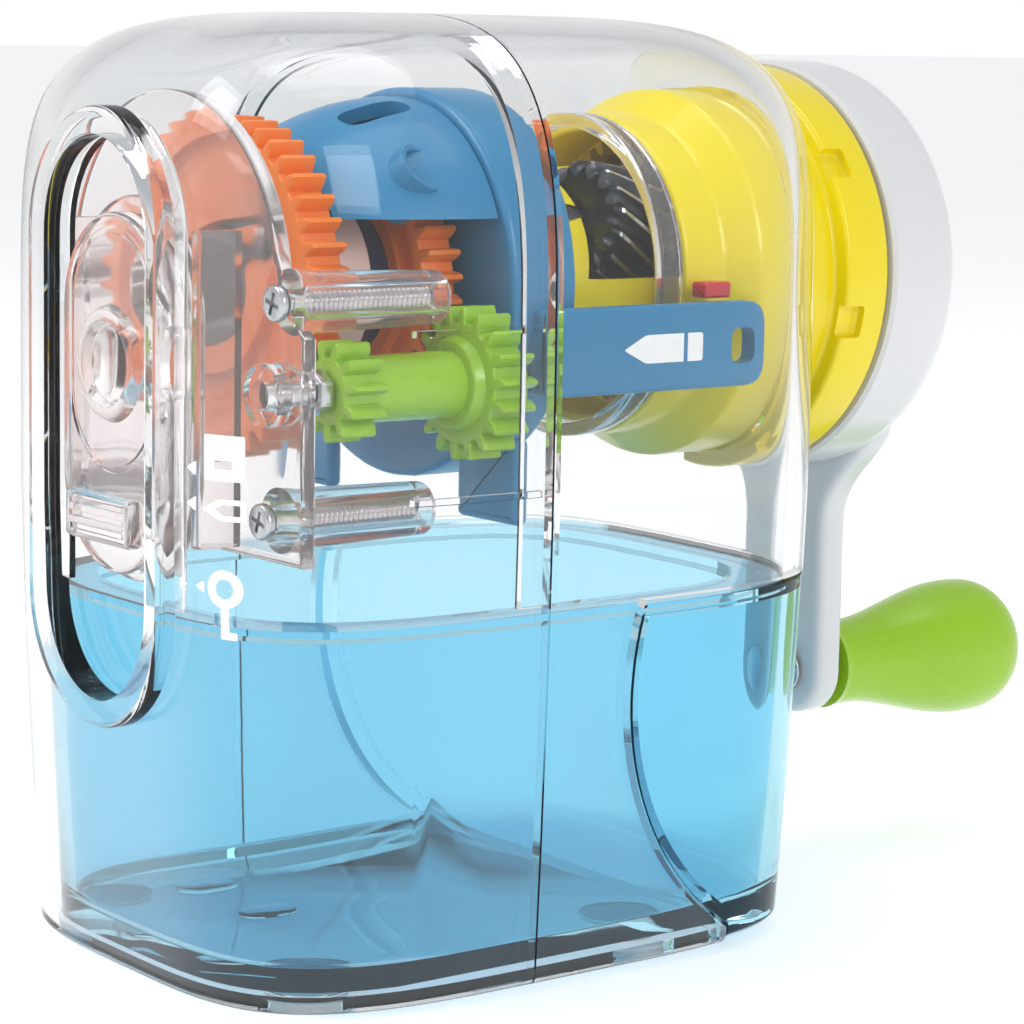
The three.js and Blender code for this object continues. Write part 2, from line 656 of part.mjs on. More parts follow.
const shaftEndY = crankBackY - armThickness - fit;
const crankShaft = rod(crankShaftRadius, carrierEndY + fit, shaftEndY, 0, axisZ, 24);
const crankScrewHole = rod(crankScrewRadius + fit, shaftEndY - 9, shaftEndY + 1, 0, axisZ, 16);
put('crank_shaft', cut(crankShaft, crankScrewHole), 0xc3c7cc, 0.25, 1);
const chamberY = housingFrontY - fit;
const chamberRing = tube(housingRimRadius, ringRoot + 0.6, chamberY - 3.7, chamberY, 0, axisZ, 40);
put('chamber_ring', chamberRing, 0xeef0ee, 0.2);

// ---- blue frame: drum, hood and arms ----
const bellBore = spindleRadius + 0.8;
const bellWall = 2;
const armLowZ = axisZ - 13;
const armHighZ = axisZ - 2;
let frame = solid(turned([
  [bellBore, bellY], [bellRadius - 1.5, bellY], [bellRadius, bellY + 2], [bellRadius, bellY + bellDepth],
  [bellRadius - bellWall, bellY + bellDepth], [bellRadius - bellWall, bellY + 2.2], [bellBore, bellY + 2.2],
], 0, axisZ, 44));
const mirrored = (side, x0, x1, ...rest) => (side > 0 ? box(x0, x1, ...rest) : box(-x1, -x0, ...rest));
for (const side of [-1, 1]) {
  frame = frame.add(mirrored(side, armX - 1.2, armX + 1.2, bellY + 3, armEndY, armLowZ, armHighZ));
  frame = frame.add(mirrored(side, bellRadius - 3.5, armX + 1, bellY + 3, bellY + 9, armLowZ, armHighZ));
  frame = frame.add(mirrored(side, 14, postLowX + 3, bellY + 0.2, bellY + 2.4, postLowZ - 3, postLowZ + 8));
  const slot = mirrored(side, armX - 2, armX + 2, armEndY - 6, armEndY - 2, axisZ - 10, axisZ - 5.4);
  frame = frame.subtract(slot);
}
frame = frame.subtract(rod(bellRadius - bellWall, bellY + 2.4, bellY + bellDepth + 2, 0, axisZ, 44));
frame = frame.subtract(rod(shaftRadius + fit, bellY - 1, bellY + 5, transferX, transferZ, 16));
put('mech_frame', frame, 0x2f8fcf, 0.35);
const hoodFrontY = smallEndY + 1.6;
const hoodBackY = bellY - fit;
const hoodFrontRadius = sleeveRadius + 6.1;
const hoodBackRadius = bellRadius - 1.2;
const hoodWall = 2.1;
const hoodShell = solid(turned([
  [hoodFrontRadius - hoodWall, hoodFrontY], [hoodFrontRadius, hoodFrontY],
  [hoodBackRadius, hoodBackY], [hoodBackRadius - hoodWall, hoodBackY],
], 0, axisZ, 48));
const hood = hoodShell.intersect(box(-far, far, -far, far, axisZ + 9, far));
const hoodWindow = box(-5, 5, hoodBackY - 12, hoodBackY - 6, axisZ + 12, far);
put('frame_hood', cut(hood, hoodWindow), 0x3c9bd8, 0.35);
const tab = box(armX - 3.6, armX - 0.6, armEndY - 9, armEndY - 4.5, armHighZ + fit, armHighZ + fit + 2.1);
put('release_tab', tab, 0xc8232c, 0.4);

// ---- crank ----
const discProfile = [
  [0, crankBackY], [crankDiscRadius - 8, crankBackY], [crankDiscRadius - 4, crankBackY - 1.1],
  [crankDiscRadius - 1.2, crankBackY - 4], [crankDiscRadius, crankBackY - 8], [crankDiscRadius, crankY],
  [crankDiscRadius - crankWall, crankY], [crankDiscRadius - crankWall, crankBackY - 7],
  [crankDiscRadius - 7, crankBackY - crankWall], [0, crankBackY - crankWall],
];
const armShape = stadium(armWidth / 2, axisZ - crankRadius - armWidth / 2, axisZ);
let crank = join(
  solid(turned(discProfile, 0, axisZ, 48)),
  solid(plateAlongY(armShape, crankBackY - armThickness, crankBackY, 10)),
);
crank = cut(crank,
  rod(crankDiscRadius - crankWall, crankY - 2, crankBackY - 7, 0, axisZ, 48),
  rod(crankScrewRadius + fit, crankY, crankBackY + 2, 0, axisZ, 16),
  rod(capRadius + fit, crankBackY - 1.2, crankBackY + 2, 0, axisZ, 24),
  rod(3.2, crankBackY - 3.1, crankBackY, 0, axisZ, 20),
  rod(knobPinRadius + fit, crankBackY - armThickness - 1, crankBackY + 1, 0, axisZ - crankRadius, 16));
put('crank', crank, 0xf4f6f7, 0.3);
const crankScrew = solid(turned([
  [0, shaftEndY - 8], [crankScrewRadius, shaftEndY - 8], [crankScrewRadius, crankBackY - 2.8],
  [2.9, crankBackY - 2.8], [2.9, crankBackY - 1.4], [0, crankBackY - 1.4],
], 0, axisZ, 16));
put('crank_screw', crankScrew, 0xb9bec4, 0.3, 0.9);
const crankCap = solid(turned([
  [0, crankBackY - 0.9], [capRadius, crankBackY - 0.9], [capRadius, crankBackY + 0.5],
  [capRadius - 2.1, crankBackY + 1.1], [0, crankBackY + 1.3],
], 0, axisZ, 24));
put('crank_cap', crankCap, 0xf4f6f7, 0.3);
const knobY = crankBackY + 0.8;
const knobEndY = knobY + knobLength;
const knobZ = axisZ - crankRadius;
const knobProfile = [
  [knobPinRadius + fit, knobY], [knobNeck + 0.3, knobY], [knobNeck, knobY + 3], [knobNeck + 0.5, knobY + 11],
  [knobBulb - 1.6, knobY + 20], [knobBulb - 0.3, knobEndY - 11], [knobBulb, knobEndY - 7.5],
  [knobBulb - 0.6, knobEndY - 4], [knobBulb - 2.6, knobEndY - 1.4], [knobBulb - 5.5, knobEndY - 0.2],
  [0, knobEndY], [0, knobEndY - 5], [knobPinRadius + fit, knobEndY - 5],
];
put('knob', solid(turned(knobProfile, 0, knobZ, 32)), 0x8fce1e, 0.3);
const pinHeadY = crankBackY - armThickness - fit;
const knobPin = solid(turned([
  [0, pinHeadY - 0.7], [3.4, pinHeadY - 0.7], [3.4, pinHeadY],
  [knobPinRadius, pinHeadY], [knobPinRadius, knobEndY - 6], [0, knobEndY - 6],
], 0, knobZ, 16));
put('knob_pin', knobPin, 0xc3c7cc, 0.25, 1);

group.position.y = -(frontFaceY - bezelProud + knobEndY) / 2;
export default group;
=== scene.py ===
"""Clear-bodied crank pencil sharpener: the finished surfaces, materials and studio round its CAD frame."""
import json
import math

import bpy
import numpy as np
from bpy.props import FloatProperty, FloatVectorProperty, IntProperty, PointerProperty
from mathutils import Matrix, Vector


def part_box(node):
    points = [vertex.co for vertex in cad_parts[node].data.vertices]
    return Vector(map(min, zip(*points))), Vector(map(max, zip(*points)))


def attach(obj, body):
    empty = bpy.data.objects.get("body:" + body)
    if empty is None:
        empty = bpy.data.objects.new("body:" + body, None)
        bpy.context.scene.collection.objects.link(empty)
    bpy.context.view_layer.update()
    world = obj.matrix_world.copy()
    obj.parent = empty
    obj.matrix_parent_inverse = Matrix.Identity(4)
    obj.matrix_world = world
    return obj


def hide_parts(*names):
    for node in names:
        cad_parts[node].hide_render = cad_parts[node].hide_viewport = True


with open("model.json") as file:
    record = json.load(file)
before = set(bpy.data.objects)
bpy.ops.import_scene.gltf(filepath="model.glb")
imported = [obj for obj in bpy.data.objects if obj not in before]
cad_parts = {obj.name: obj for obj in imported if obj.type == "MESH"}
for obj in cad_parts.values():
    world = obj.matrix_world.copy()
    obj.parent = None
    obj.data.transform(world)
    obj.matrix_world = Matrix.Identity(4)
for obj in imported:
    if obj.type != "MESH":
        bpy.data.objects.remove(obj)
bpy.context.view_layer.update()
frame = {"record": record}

bl_info = {
    "name": "Crank Pencil Sharpener",
    "version": (1, 0, 0),
    "blender": (4, 5, 0),
    "location": "View3D > Sidebar > Sharpener",
    "description": "Builds the visible surfaces of a clear crank pencil sharpener round its CAD frame",
    "category": "Add Mesh",
}

MM = 0.001
FAR = 400.0
TURN = 2 * math.pi
PRESSURE_ANGLE = math.radians(20)
SHARPEST_SPREAD = 0.6
RIM_PROUD = 1.6
DRUM_STEP = 2.5
SHAFT_BORE = 1.8
CUTTER_BORE = 1.9
CUTTER_START = 2.2
CUTTER_LEAN = math.radians(-10.5)


class Place:
    """The box of one CAD node, in millimetres, with its middle and its radius about a line along Y."""

    def __init__(self, node):
        low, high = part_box(node)
        self.x0, self.y0, self.z0 = (value / MM for value in low)
        self.x1, self.y1, self.z1 = (value / MM for value in high)
        self.x, self.y, self.z = ((self.x0 + self.x1) / 2, (self.y0 + self.y1) / 2, (self.z0 + self.z1) / 2)
        self.r = (self.z1 - self.z0) / 2


def joint_place(name):
    """A joint's point, in millimetres, and its axis."""
    joint = next(j for j in frame["record"]["behaviour"]["joints"] if j["name"] == name)
    return np.array(joint.get("pos_m", [0, 0, 0])) / MM, np.array(joint["axis"], float)


AXIS_Z = Place("spindle_tube").z


# ---- sizes and colours that a user would change ----
def size(name, text, value):
    """A number with a label and a tooltip."""
    return FloatProperty(name=name, description=text, default=value)


def degrees(name, text, value):
    """An angle, given in degrees and kept in radians."""
    return FloatProperty(name=name, description=text, default=math.radians(value), subtype="ANGLE")


def colour(name, text, value):
    """A colour of three linear channels."""
    return FloatVectorProperty(name=name, description=text, default=value, subtype="COLOR", size=3)


class BodySizes(bpy.types.PropertyGroup):
    """The clear body, the drawer and the gate, in millimetres."""
    wall: size("Wall", "Thickness of the clear shells, mm", 2.2)
    gap: size("Gap", "Clearance between touching pieces, mm", 0.3)
    slide: size("Sliding gap", "Clearance round sliding pieces, mm", 0.6)
    plan_power: size("Plan power", "Squareness of the body seen from above", 4.0)
    draft: size("Draft", "Share by which the foot is narrower than the middle", 0.05)
    draft_height: size("Draft height", "Height below which the walls draw in, mm", 60.0)
    side_dome: size("Side dome", "Height of the rounding at the sides, mm", 42.0)
    side_power: size("Side dome power", "Squareness of the dome at the sides", 3.4)
    end_dome: size("End dome", "Height of the rounding at the ends, mm", 36.0)
    end_power: size("End dome power", "Squareness of the dome at the ends", 5.0)
    bezel_width: size("Rim width", "Width of the raised rim round the front opening, mm", 3.4)
    opening_below: size("Opening below gate", "How far the opening runs below the gate, mm", 15.5)
    gate_half: size("Gate half width", "Half the width of the gate's front plate, mm", 12.0)
    gate_flange: size("Gate flange", "How far the gate's back plate runs behind the shell, mm", 2.2)
    gate_top: size("Gate top", "From the pencil hole up to the gate's top, mm", 18.5)
    gate_bottom: size("Gate bottom", "From the pencil hole down to the gate's bottom, mm", 26.0)
    bore: size("Pencil bore", "Diameter of the pencil hole, mm", 9.0)
    lip_reach: size("Lip reach", "How far the rear shell's lip goes into the front shell, mm", 3.0)
    lip_thick: size("Lip thickness", "Thickness of that lip, mm", 1.1)
    cutout_radius: size("Cut-out radius", "Radius of the arc that ends the rear shell's side walls, mm", 38.0)
    cutout_depth: size("Cut-out depth", "How far the arc reaches in front of the back face, mm", 41.5)
    cutout_z: size("Cut-out height", "Height of the arc's centre, mm", 36.0)
    drawer_wall: size("Drawer wall", "Thickness of the drawer's wall, mm", 2.0)
    drawer_flange: size("Drawer flange", "Width of the flange round the drawer's mouth, mm", 3.4)
    drawer_rim: size("Drawer rim", "Thickness of that flange, mm", 1.8)


class MechanismSizes(bpy.types.PropertyGroup):
    """The gears and the cutter."""
    module: size("Gear module", "Module of the feed gears, mm", 0.96)
    front_teeth: IntProperty(name="Front teeth", description="Teeth of the chuck's gear", default=43)
    rear_teeth: IntProperty(name="Rear teeth", description="Teeth of the spindle's gear", default=36)
    big_teeth: IntProperty(name="Large transfer teeth", description="Teeth of the large wheel", default=18)
    small_teeth: IntProperty(name="Small transfer teeth", description="Teeth of the small wheel", default=11)
    cutter_module: size("Cutter module", "Module of the cutter's pinion and its ring, mm", 0.9)
    pinion_teeth: IntProperty(name="Pinion teeth", description="Teeth of the cutter's pinion", default=20)
    ring_teeth: IntProperty(name="Ring teeth", description="Teeth of the fixed ring", default=40)
    flutes: IntProperty(name="Flutes", description="Blades on the cutter", default=16)
    cutter_radius: size("Cutter radius", "Radius over the blades, mm", 8.0)
    cutter_length: size("Cutter length", "Length of the blades, mm", 18.0)
    cutter_twist: size("Cutter twist", "Turn of the blades from end to end, degrees", 58.0)


class Finishes(bpy.types.PropertyGroup):
    """Colours of the plastics and metals."""
    clear: colour("Clear", "Clear shells", (0.965, 0.975, 0.98))
    blue_clear: colour("Clear blue", "Shavings drawer", (0.42, 0.76, 0.90))
    cloudy: colour("Cloudy", "Gate and gearbox plate", (0.97, 0.925, 0.915))
    orange: colour("Orange", "Feed gears", (0.88, 0.20, 0.008))
    lime: colour("Lime", "Transfer gear and knob", (0.31, 0.57, 0.012))
    blue: colour("Blue", "Frame and hood", (0.014, 0.205, 0.41))
    yellow: colour("Yellow", "Ring housing and carrier", (0.86, 0.69, 0.002))
    navy: colour("Navy", "Spindle", (0.012, 0.02, 0.06))
    pink: colour("Pink", "Chuck sleeve", (0.9, 0.62, 0.56))
    white: colour("White", "Crank", (0.70, 0.71, 0.72))
    red: colour("Red", "Release tab", (0.55, 0.012, 0.02))
    grey: colour("Grey", "Chuck jaws", (0.03, 0.033, 0.04))
    foot: colour("Foot", "Feet", (0.55, 0.57, 0.58))
    steel: colour("Steel", "Shafts and screws", (0.62, 0.63, 0.64))
    blade: colour("Blade", "Cutter", (0.075, 0.078, 0.085))
    sintered: colour("Sintered", "Cutter pinion", (0.17, 0.14, 0.115))
    ink: colour("Ink", "Printed marks", (0.95, 0.95, 0.95))


class StageSettings(bpy.types.PropertyGroup):
    """The camera's place round the object and its lens."""
    azimuth: degrees("Azimuth", "Turn round the object", 53.7)
    elevation: degrees("Elevation", "Above the horizon", 7.8)
    roll: degrees("Roll", "Turn about the line of sight", 0.8)
    distance: size("Distance", "From the camera to the body's middle, mm", 415.0)
    aim_height: size("Aim height", "Height of the point that sets the direction, mm", 60.0)
    lens: size("Lens", "Focal length, mm", 111.0)
    shift_x: size("Shift X", "Lens shift", 0.092)
    shift_y: size("Shift Y", "Lens shift", -0.036)
    floor_glow: size("Floor glow", "Light that the paper floor adds to what it reflects", 0.42)
    key_light: size("Key light", "Power, W", 3.8)
    side_light: size("Side light", "Power, W", 1.6)
    top_light: size("Top light", "Power, W", 2.0)


def body_sizes():
    """The scene's sizes of the body, the drawer and the gate."""
    return bpy.context.scene.sharpener_body


def gear_sizes():
    """The scene's sizes of the gears and the cutter."""
    return bpy.context.scene.sharpener_gears


# ---- flat outlines and profiles, as arrays of points ----
def rounded(corners, radius, closed=True, steps=5):
    """Each corner becomes a quadratic curve that starts and ends a radius away along its two edges."""
    points = np.asarray(corners, float)
    to_last = np.roll(points, 1, 0) - points
    to_next = np.roll(points, -1, 0) - points
    last_length = np.linalg.norm(to_last, axis=1, keepdims=True)
    next_length = np.linalg.norm(to_next, axis=1, keepdims=True)
    start = points + to_last * np.minimum(radius / last_length, 0.48)
    end = points + to_next * np.minimum(radius / next_length, 0.48)
    t = np.linspace(0, 1, steps)[None, :, None]
    curve = (1 - t) ** 2 * start[:, None] + 2 * t * (1 - t) * points[:, None] + t ** 2 * end[:, None]
    if closed:
        return curve.reshape(-1, 2)
    return np.vstack([points[:1], curve[1:-1].reshape(-1, 2), points[-1:]])


def stadium(half, low, high, steps):
    """Two half circles of one radius, joined by straight sides, upright."""
    angle = np.linspace(0, math.pi, steps)
    top = np.stack([half * np.cos(angle), high - half + half * np.sin(angle)], 1)
    foot = np.stack([-half * np.cos(angle), low + half - half * np.sin(angle)], 1)
    return np.vstack([top, foot])


def oblong(x0, x1, z0, z1):
    """The four corners of a rectangle, anticlockwise from the lower left."""
    return [[x0, z0], [x1, z0], [x1, z1], [x0, z1]]


def circle(radius, x, z, steps):
    """Points at even angles round a middle."""
    angle = np.arange(steps) * TURN / steps
    return np.stack([x + radius * np.cos(angle), z + radius * np.sin(angle)], 1)


def tooth_half_angle(radius, teeth, module, share):
    """Half the angle that a tooth fills at a radius.

    It is the share at the pitch circle, plus the involute function there, less that function at the radius.
    The involute function of a radius is the tangent of its pressure angle, less that angle.
    """
    pitch = teeth * module / 2
    base = pitch * math.cos(PRESSURE_ANGLE)

    def involute(r):
        pressure = np.arccos(np.minimum(base / np.maximum(r, base), 1))
        return np.tan(pressure) - pressure

    return share * math.pi / teeth / 2 + involute(pitch) - involute(radius)


def gear_outline(teeth, module, phase, share=0.84, inner=False):
    """Flanks go from root to tip by radius, and each tooth's half angle at a radius gives its two sides."""
    pitch = teeth * module / 2
    if inner:
        radii = np.linspace(pitch + 1.15 * module, pitch - 0.75 * module, 5)
        half = share * math.pi / teeth / 2 + (radii - pitch) * math.tan(PRESSURE_ANGLE) / pitch
    else:
        radii = np.linspace(pitch - 1.2 * module, pitch + 0.9 * module, 6)
        half = tooth_half_angle(radii, teeth, module, share)
    radius = np.concatenate([radii, radii[::-1]])
    offset = np.concatenate([-half, half[::-1]])
    middle = np.arange(teeth)[:, None] * TURN / teeth + phase
    angle = (middle + offset[None]).ravel()
    radius = np.tile(radius, teeth)
    return np.stack([radius * np.cos(angle), radius * np.sin(angle)], 1)


def unit(vectors):
    """Each vector divided by its length, which is held above nothing."""
    return vectors / np.maximum(np.linalg.norm(vectors, axis=1, keepdims=True), 1e-9)


def inset(outline, distance):
    """Each point moves inwards along the mean of its two edges' normals, further at a sharp corner."""
    edge = np.roll(outline, -1, 0) - outline
    normal = unit(np.stack([edge[:, 1], -edge[:, 0]], 1))
    mean = unit(normal + np.roll(normal, 1, 0))
    spread = np.maximum((mean * normal).sum(1, keepdims=True), SHARPEST_SPREAD)
    x, z = outline[:, 0], outline[:, 1]
    area = np.sum(x * np.roll(z, -1) - np.roll(x, -1) * z)
    return outline - mean / spread * distance * np.sign(area)


# ---- solids, in millimetres until they are finished ----
def solid(points, faces):
    """A mesh object from points and faces, linked to the scene."""
    mesh = bpy.data.meshes.new("solid")
    mesh.from_pydata(np.asarray(points, float).tolist(), [], faces)
    mesh.validate()
    piece = bpy.data.objects.new("solid", mesh)
    bpy.context.scene.collection.objects.link(piece)
    return piece


def grid_faces(rows, columns, wrap_rows=False):
    """Quads between neighbouring rows of a grid whose columns close on themselves."""
    r = np.arange(rows if wrap_rows else rows - 1)[:, None]
    c = np.arange(columns)[None]
    after, beside = (r + 1) % rows, (c + 1) % columns
    here, ahead = r * columns, after * columns
    quads = np.stack([here + c, here + beside, ahead + beside, ahead + c], -1)
    return quads.reshape(-1, 4).tolist()


def outward(piece):
    """A closed solid whose signed volume is negative is turned the right way round."""
    mesh = piece.data
    mesh.calc_loop_triangles()
    points = np.empty(len(mesh.vertices) * 3)
    mesh.vertices.foreach_get("co", points)
    corners = np.empty(len(mesh.loop_triangles) * 3, np.int32)
    mesh.loop_triangles.foreach_get("vertices", corners)
    a, b, c = points.reshape(-1, 3)[corners.reshape(-1, 3)].transpose(1, 0, 2)
    if np.sum(a * np.cross(b, c)) < 0:
        mesh.flip_normals()
    return piece


def loft(rings):
    """Rings of points, one per row, skinned with quads and closed with a flat face at each end."""
    rings = np.asarray(rings, float)
    rows, columns = rings.shape[:2]
    faces = grid_faces(rows, columns)
    faces.append(list(range(columns))[::-1])
    faces.append(list(range((rows - 1) * columns, rows * columns)))
    return outward(solid(rings.reshape(-1, 3), faces))


def plate(outline, y0, y1, edge=0.3, steps=4):
    """A flat outline in X and Z carried along Y, with a quarter round of the given radius on both rims."""
    turn = np.linspace(0, math.pi / 2, steps)
    # The inset falls from the full edge at the faces to none on the sides.
    draw = np.concatenate([edge * (1 - np.sin(turn)), edge * (1 - np.sin(turn[::-1]))])
    depth = np.concatenate([y0 + edge * (1 - np.cos(turn)), y1 - edge * (1 - np.cos(turn[::-1]))])
    rings = []
    for y, distance in zip(depth, draw):
        flat = inset(outline, distance)
        rings.append(np.stack([flat[:, 0], np.full(len(flat), y), flat[:, 1]], 1))
    return loft(rings)


def lathe(profile, x=0.0, z=None, steps=96):
    """A profile of radius and y, turned about a line along Y. It closes on itself or ends on the line."""
    profile = np.asarray(profile, float)
    z = AXIS_Z if z is None else z
    angle = np.arange(steps) * TURN / steps
    on_line = profile[0, 0] == 0 and profile[-1, 0] == 0
    body = profile[1:-1] if on_line else profile
    radius = body[:, 0][:, None]
    points = np.stack([
        x + radius * np.cos(angle), np.repeat(body[:, 1][:, None], steps, 1), z + radius * np.sin(angle),
    ], -1).reshape(-1, 3)
    rows = len(body)
    if not on_line:
        return outward(solid(points, grid_faces(rows, steps, wrap_rows=True)))
    faces = grid_faces(rows, steps)
    first, last = len(points), len(points) + 1
    points = np.vstack([points, [x, profile[0, 1], z], [x, profile[-1, 1], z]])
    for pole, row in ((first, 0), (last, rows - 1)):
        for step in range(steps):
            a, b = row * steps + step, row * steps + (step + 1) % steps
            faces.append([pole, b, a] if row == 0 else [pole, a, b])
    return outward(solid(points, faces))


def rod(radius, y0, y1, x=0.0, z=None, edge=0.25, steps=64):
    """A round bar along Y with rounded rims."""
    return lathe(rounded(oblong(0, radius, y0, y1), edge, closed=False), x, z, steps)


def tube(outer, bore, y0, y1, x=0.0, z=None, edge=0.3, steps=96):
    """A round bar along Y with a bore through it and rounded rims."""
    return lathe(rounded(oblong(bore, outer, y0, y1), edge), x, z, steps)


def block(x0, x1, y0, y1, z0, z1, edge=0.0):
    """A box, its upright edges and rims rounded where an edge radius is given."""
    corners = oblong(x0, x1, z0, z1)
    if edge:
        return plate(rounded(corners, edge), y0, y1, min(edge, 0.45 * (y1 - y0)))
    return loft([[[x, y, z] for x, z in corners] for y in (y0, y1)])


def combine(operation, first, others):
    """One solid from several. The others are used up, and an empty result is an error."""
    for other in others:
        change = first.modifiers.new("combine", "BOOLEAN")
        change.operation = operation
        change.solver = "MANIFOLD"
        change.object = other
    graph = bpy.context.evaluated_depsgraph_get()
    mesh = bpy.data.meshes.new_from_object(first.evaluated_get(graph))
    if not mesh.polygons:
        raise RuntimeError(f"{operation} left nothing of a solid")
    first.modifiers.clear()
    first.data = mesh
    for other in others:
        bpy.data.objects.remove(other)
    return first


def join(first, *others):
    """The space of any of them."""
    return combine("UNION", first, others)


def cut(first, *others):
    """The first without the others."""
    return combine("DIFFERENCE", first, others)


def meet(first, *others):
    """Only the space that all of them share."""
    return combine("INTERSECT", first, others)


def moved(piece, matrix):
    """A solid taken through a matrix. A mirror turns its faces over, so they are turned back."""
    piece.data.transform(matrix)
    if matrix.determinant() < 0:
        piece.data.flip_normals()
    return piece


SWAP_XY = Matrix(((0, 1, 0, 0), (1, 0, 0, 0), (0, 0, 1, 0), (0, 0, 0, 1)))
SWAP_YZ = Matrix(((1, 0, 0, 0), (0, 0, 1, 0), (0, 1, 0, 0), (0, 0, 0, 1)))


def finished(piece, name, body, look, nodes=(), sharp=34):
    """Names a solid, takes it from millimetres to metres, smooths it and gives it its body and finish."""
    piece.name = name
    piece.data.name = name
    piece.data.transform(Matrix.Scale(MM, 4))
    piece.data.shade_smooth()
    piece.data.set_sharp_from_angle(angle=math.radians(sharp))
    piece.data.materials.clear()
    piece.data.materials.append(material(look))
    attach(piece, body)
    if nodes:
        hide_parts(*nodes)
    return piece


# ---- shader maths ----
class Sock:
    """A socket or a number, with operators that add Math nodes."""

    def __init__(self, tree, link):
        self.tree, self.link = tree, link

    def op(self, operation, *values):
        node = self.tree.nodes.new("ShaderNodeMath")
        node.operation = operation
        for socket, value in zip(node.inputs, values):
            put(self.tree, socket, value)
        return Sock(self.tree, node.outputs[0])

    def __add__(self, other):
        return self.op("ADD", self, other)

    def __radd__(self, other):
        return self.op("ADD", other, self)

    def __sub__(self, other):
        return self.op("SUBTRACT", self, other)

    def __rsub__(self, other):
        return self.op("SUBTRACT", other, self)

    def __mul__(self, other):
        return self.op("MULTIPLY", self, other)

    def __rmul__(self, other):
        return self.op("MULTIPLY", other, self)

    def __truediv__(self, other):
        return self.op("DIVIDE", self, other)


def put(tree, socket, value):
    """Links a socket, or sets a plain value."""
    if isinstance(value, Sock):
        tree.links.new(value.link, socket)
    else:
        socket.default_value = value


class Finish:
    """A material with a Principled shader. Its methods add nodes and set sockets."""

    def __init__(self, name):
        self.material = bpy.data.materials.new(name)
        self.material.use_nodes = True
        self.tree = self.material.node_tree
        self.tree.nodes.clear()
        self.shader = self.tree.nodes.new("ShaderNodeBsdfPrincipled")
        self.output = self.tree.nodes.new("ShaderNodeOutputMaterial")
        self.tree.links.new(self.shader.outputs[0], self.output.inputs[0])
        place = self.tree.nodes.new("ShaderNodeTexCoord")
        self.place = Sock(self.tree, place.outputs["Object"])

    def node(self, kind, **values):
        """One node with its sockets set by name. Its first output comes back."""
        made = self.tree.nodes.new(kind)
        for key, value in values.items():
            put(self.tree, made.inputs[key], value)
        return Sock(self.tree, made.outputs[0])

    def set(self, **values):
        """The shader's own sockets by name, with _ for a space."""
        for key, value in values.items():
            put(self.tree, self.shader.inputs[key.replace("_", " ")], value)
        return self

    def noise(self, scale, detail=3.0, rough=0.5, place=None):
        """Noise over the object's coordinates, or over others that are given."""
        where = place or self.place
        return self.node("ShaderNodeTexNoise", Vector=where, Scale=scale, Detail=detail, Roughness=rough)

    def stretched(self, scale):
        """The object's own coordinates, scaled apart along the three axes."""
        return self.node("ShaderNodeMapping", Vector=self.place, Scale=scale)

    def mix(self, factor, first, second):
        """A colour between two, by a factor."""
        made = self.tree.nodes.new("ShaderNodeMix")
        made.data_type = "RGBA"
        put(self.tree, made.inputs["Factor"], factor)
        put(self.tree, made.inputs[6], first)
        put(self.tree, made.inputs[7], second)
        return Sock(self.tree, made.outputs[2])

    def bump(self, height, strength, distance):
        """Tilts the shader's normal by a height."""
        normal = self.node("ShaderNodeBump", Height=height, Strength=strength, Distance=distance)
        return self.set(Normal=normal)


def rgba(value, gain=1.0):
    """A colour times a gain, at most one, with full alpha."""
    return tuple(min(channel * gain, 1.0) for channel in value) + (1.0,)


def moulded(name, tint, rough=0.32, coat=0.25):
    """Injection-moulded plastic: faint colour drift, fine orange peel and uneven gloss."""
    finish = Finish(name)
    broad, peel, streak = 90.0, 1900.0, 260.0
    drift = finish.noise(broad, 4.0)
    fine = finish.noise(peel, 2.0)
    smear = finish.noise(streak, 3.0, place=finish.stretched((1.0, 0.3, 1.0)))
    colour_now = finish.mix((drift - 0.3) * 0.9, rgba(tint, 0.965), rgba(tint, 1.015))
    finish.set(Base_Color=colour_now, Roughness=(smear - 0.5) * 0.10 + rough)
    finish.set(Coat_Weight=coat, Coat_Roughness=0.12, Specular_IOR_Level=0.5)
    return finish.bump(fine + smear * 0.1, 0.02, 0.0002).material


def clear(name, tint, rough=0.02, ior=1.34, ripple=0.05, haze=0.0):
    """Clear plastic: tinted where it passes light, with moulding ripple, and shadows that stay light."""
    finish = Finish(name)
    flow = finish.noise(26.0, 2.0, place=finish.stretched((1.0, 1.0, 0.35)))
    fine = finish.noise(420.0, 2.0)
    tone = finish.mix((flow - 0.25) * 1.2, rgba(tint, 0.965), rgba(tint, 1.0))
    finish.set(Base_Color=tone, Roughness=rough, IOR=ior, Transmission_Weight=1.0 - haze)
    finish.bump(flow + fine * 0.04, ripple, 0.0015)
    path = finish.tree.nodes.new("ShaderNodeLightPath")
    through = finish.tree.nodes.new("ShaderNodeBsdfTransparent")
    through.inputs[0].default_value = rgba(tint, 0.97)
    blend = finish.tree.nodes.new("ShaderNodeMixShader")
    finish.tree.links.new(path.outputs["Is Shadow Ray"], blend.inputs[0])
    finish.tree.links.new(finish.shader.outputs[0], blend.inputs[1])
    finish.tree.links.new(through.outputs[0], blend.inputs[2])
    finish.tree.links.new(blend.outputs[0], finish.output.inputs[0])
    return finish.material


def metal(name, tint, rough=0.22, grain=(1.0, 40.0, 1.0), depth=0.12):
    """Turned metal: fine tool lines across the axis, with brighter and duller bands."""
    finish = Finish(name)
    lines = finish.noise(60.0, 3.0, place=finish.stretched(grain))
    cloud = finish.noise(240.0, 3.0)
    finish.set(Base_Color=finish.mix(cloud, rgba(tint, 0.78), rgba(tint, 1.15)), Metallic=1.0)
    finish.set(Roughness=(lines - 0.5) * 0.3 + rough)
    return finish.bump(lines, depth, 0.0002).material


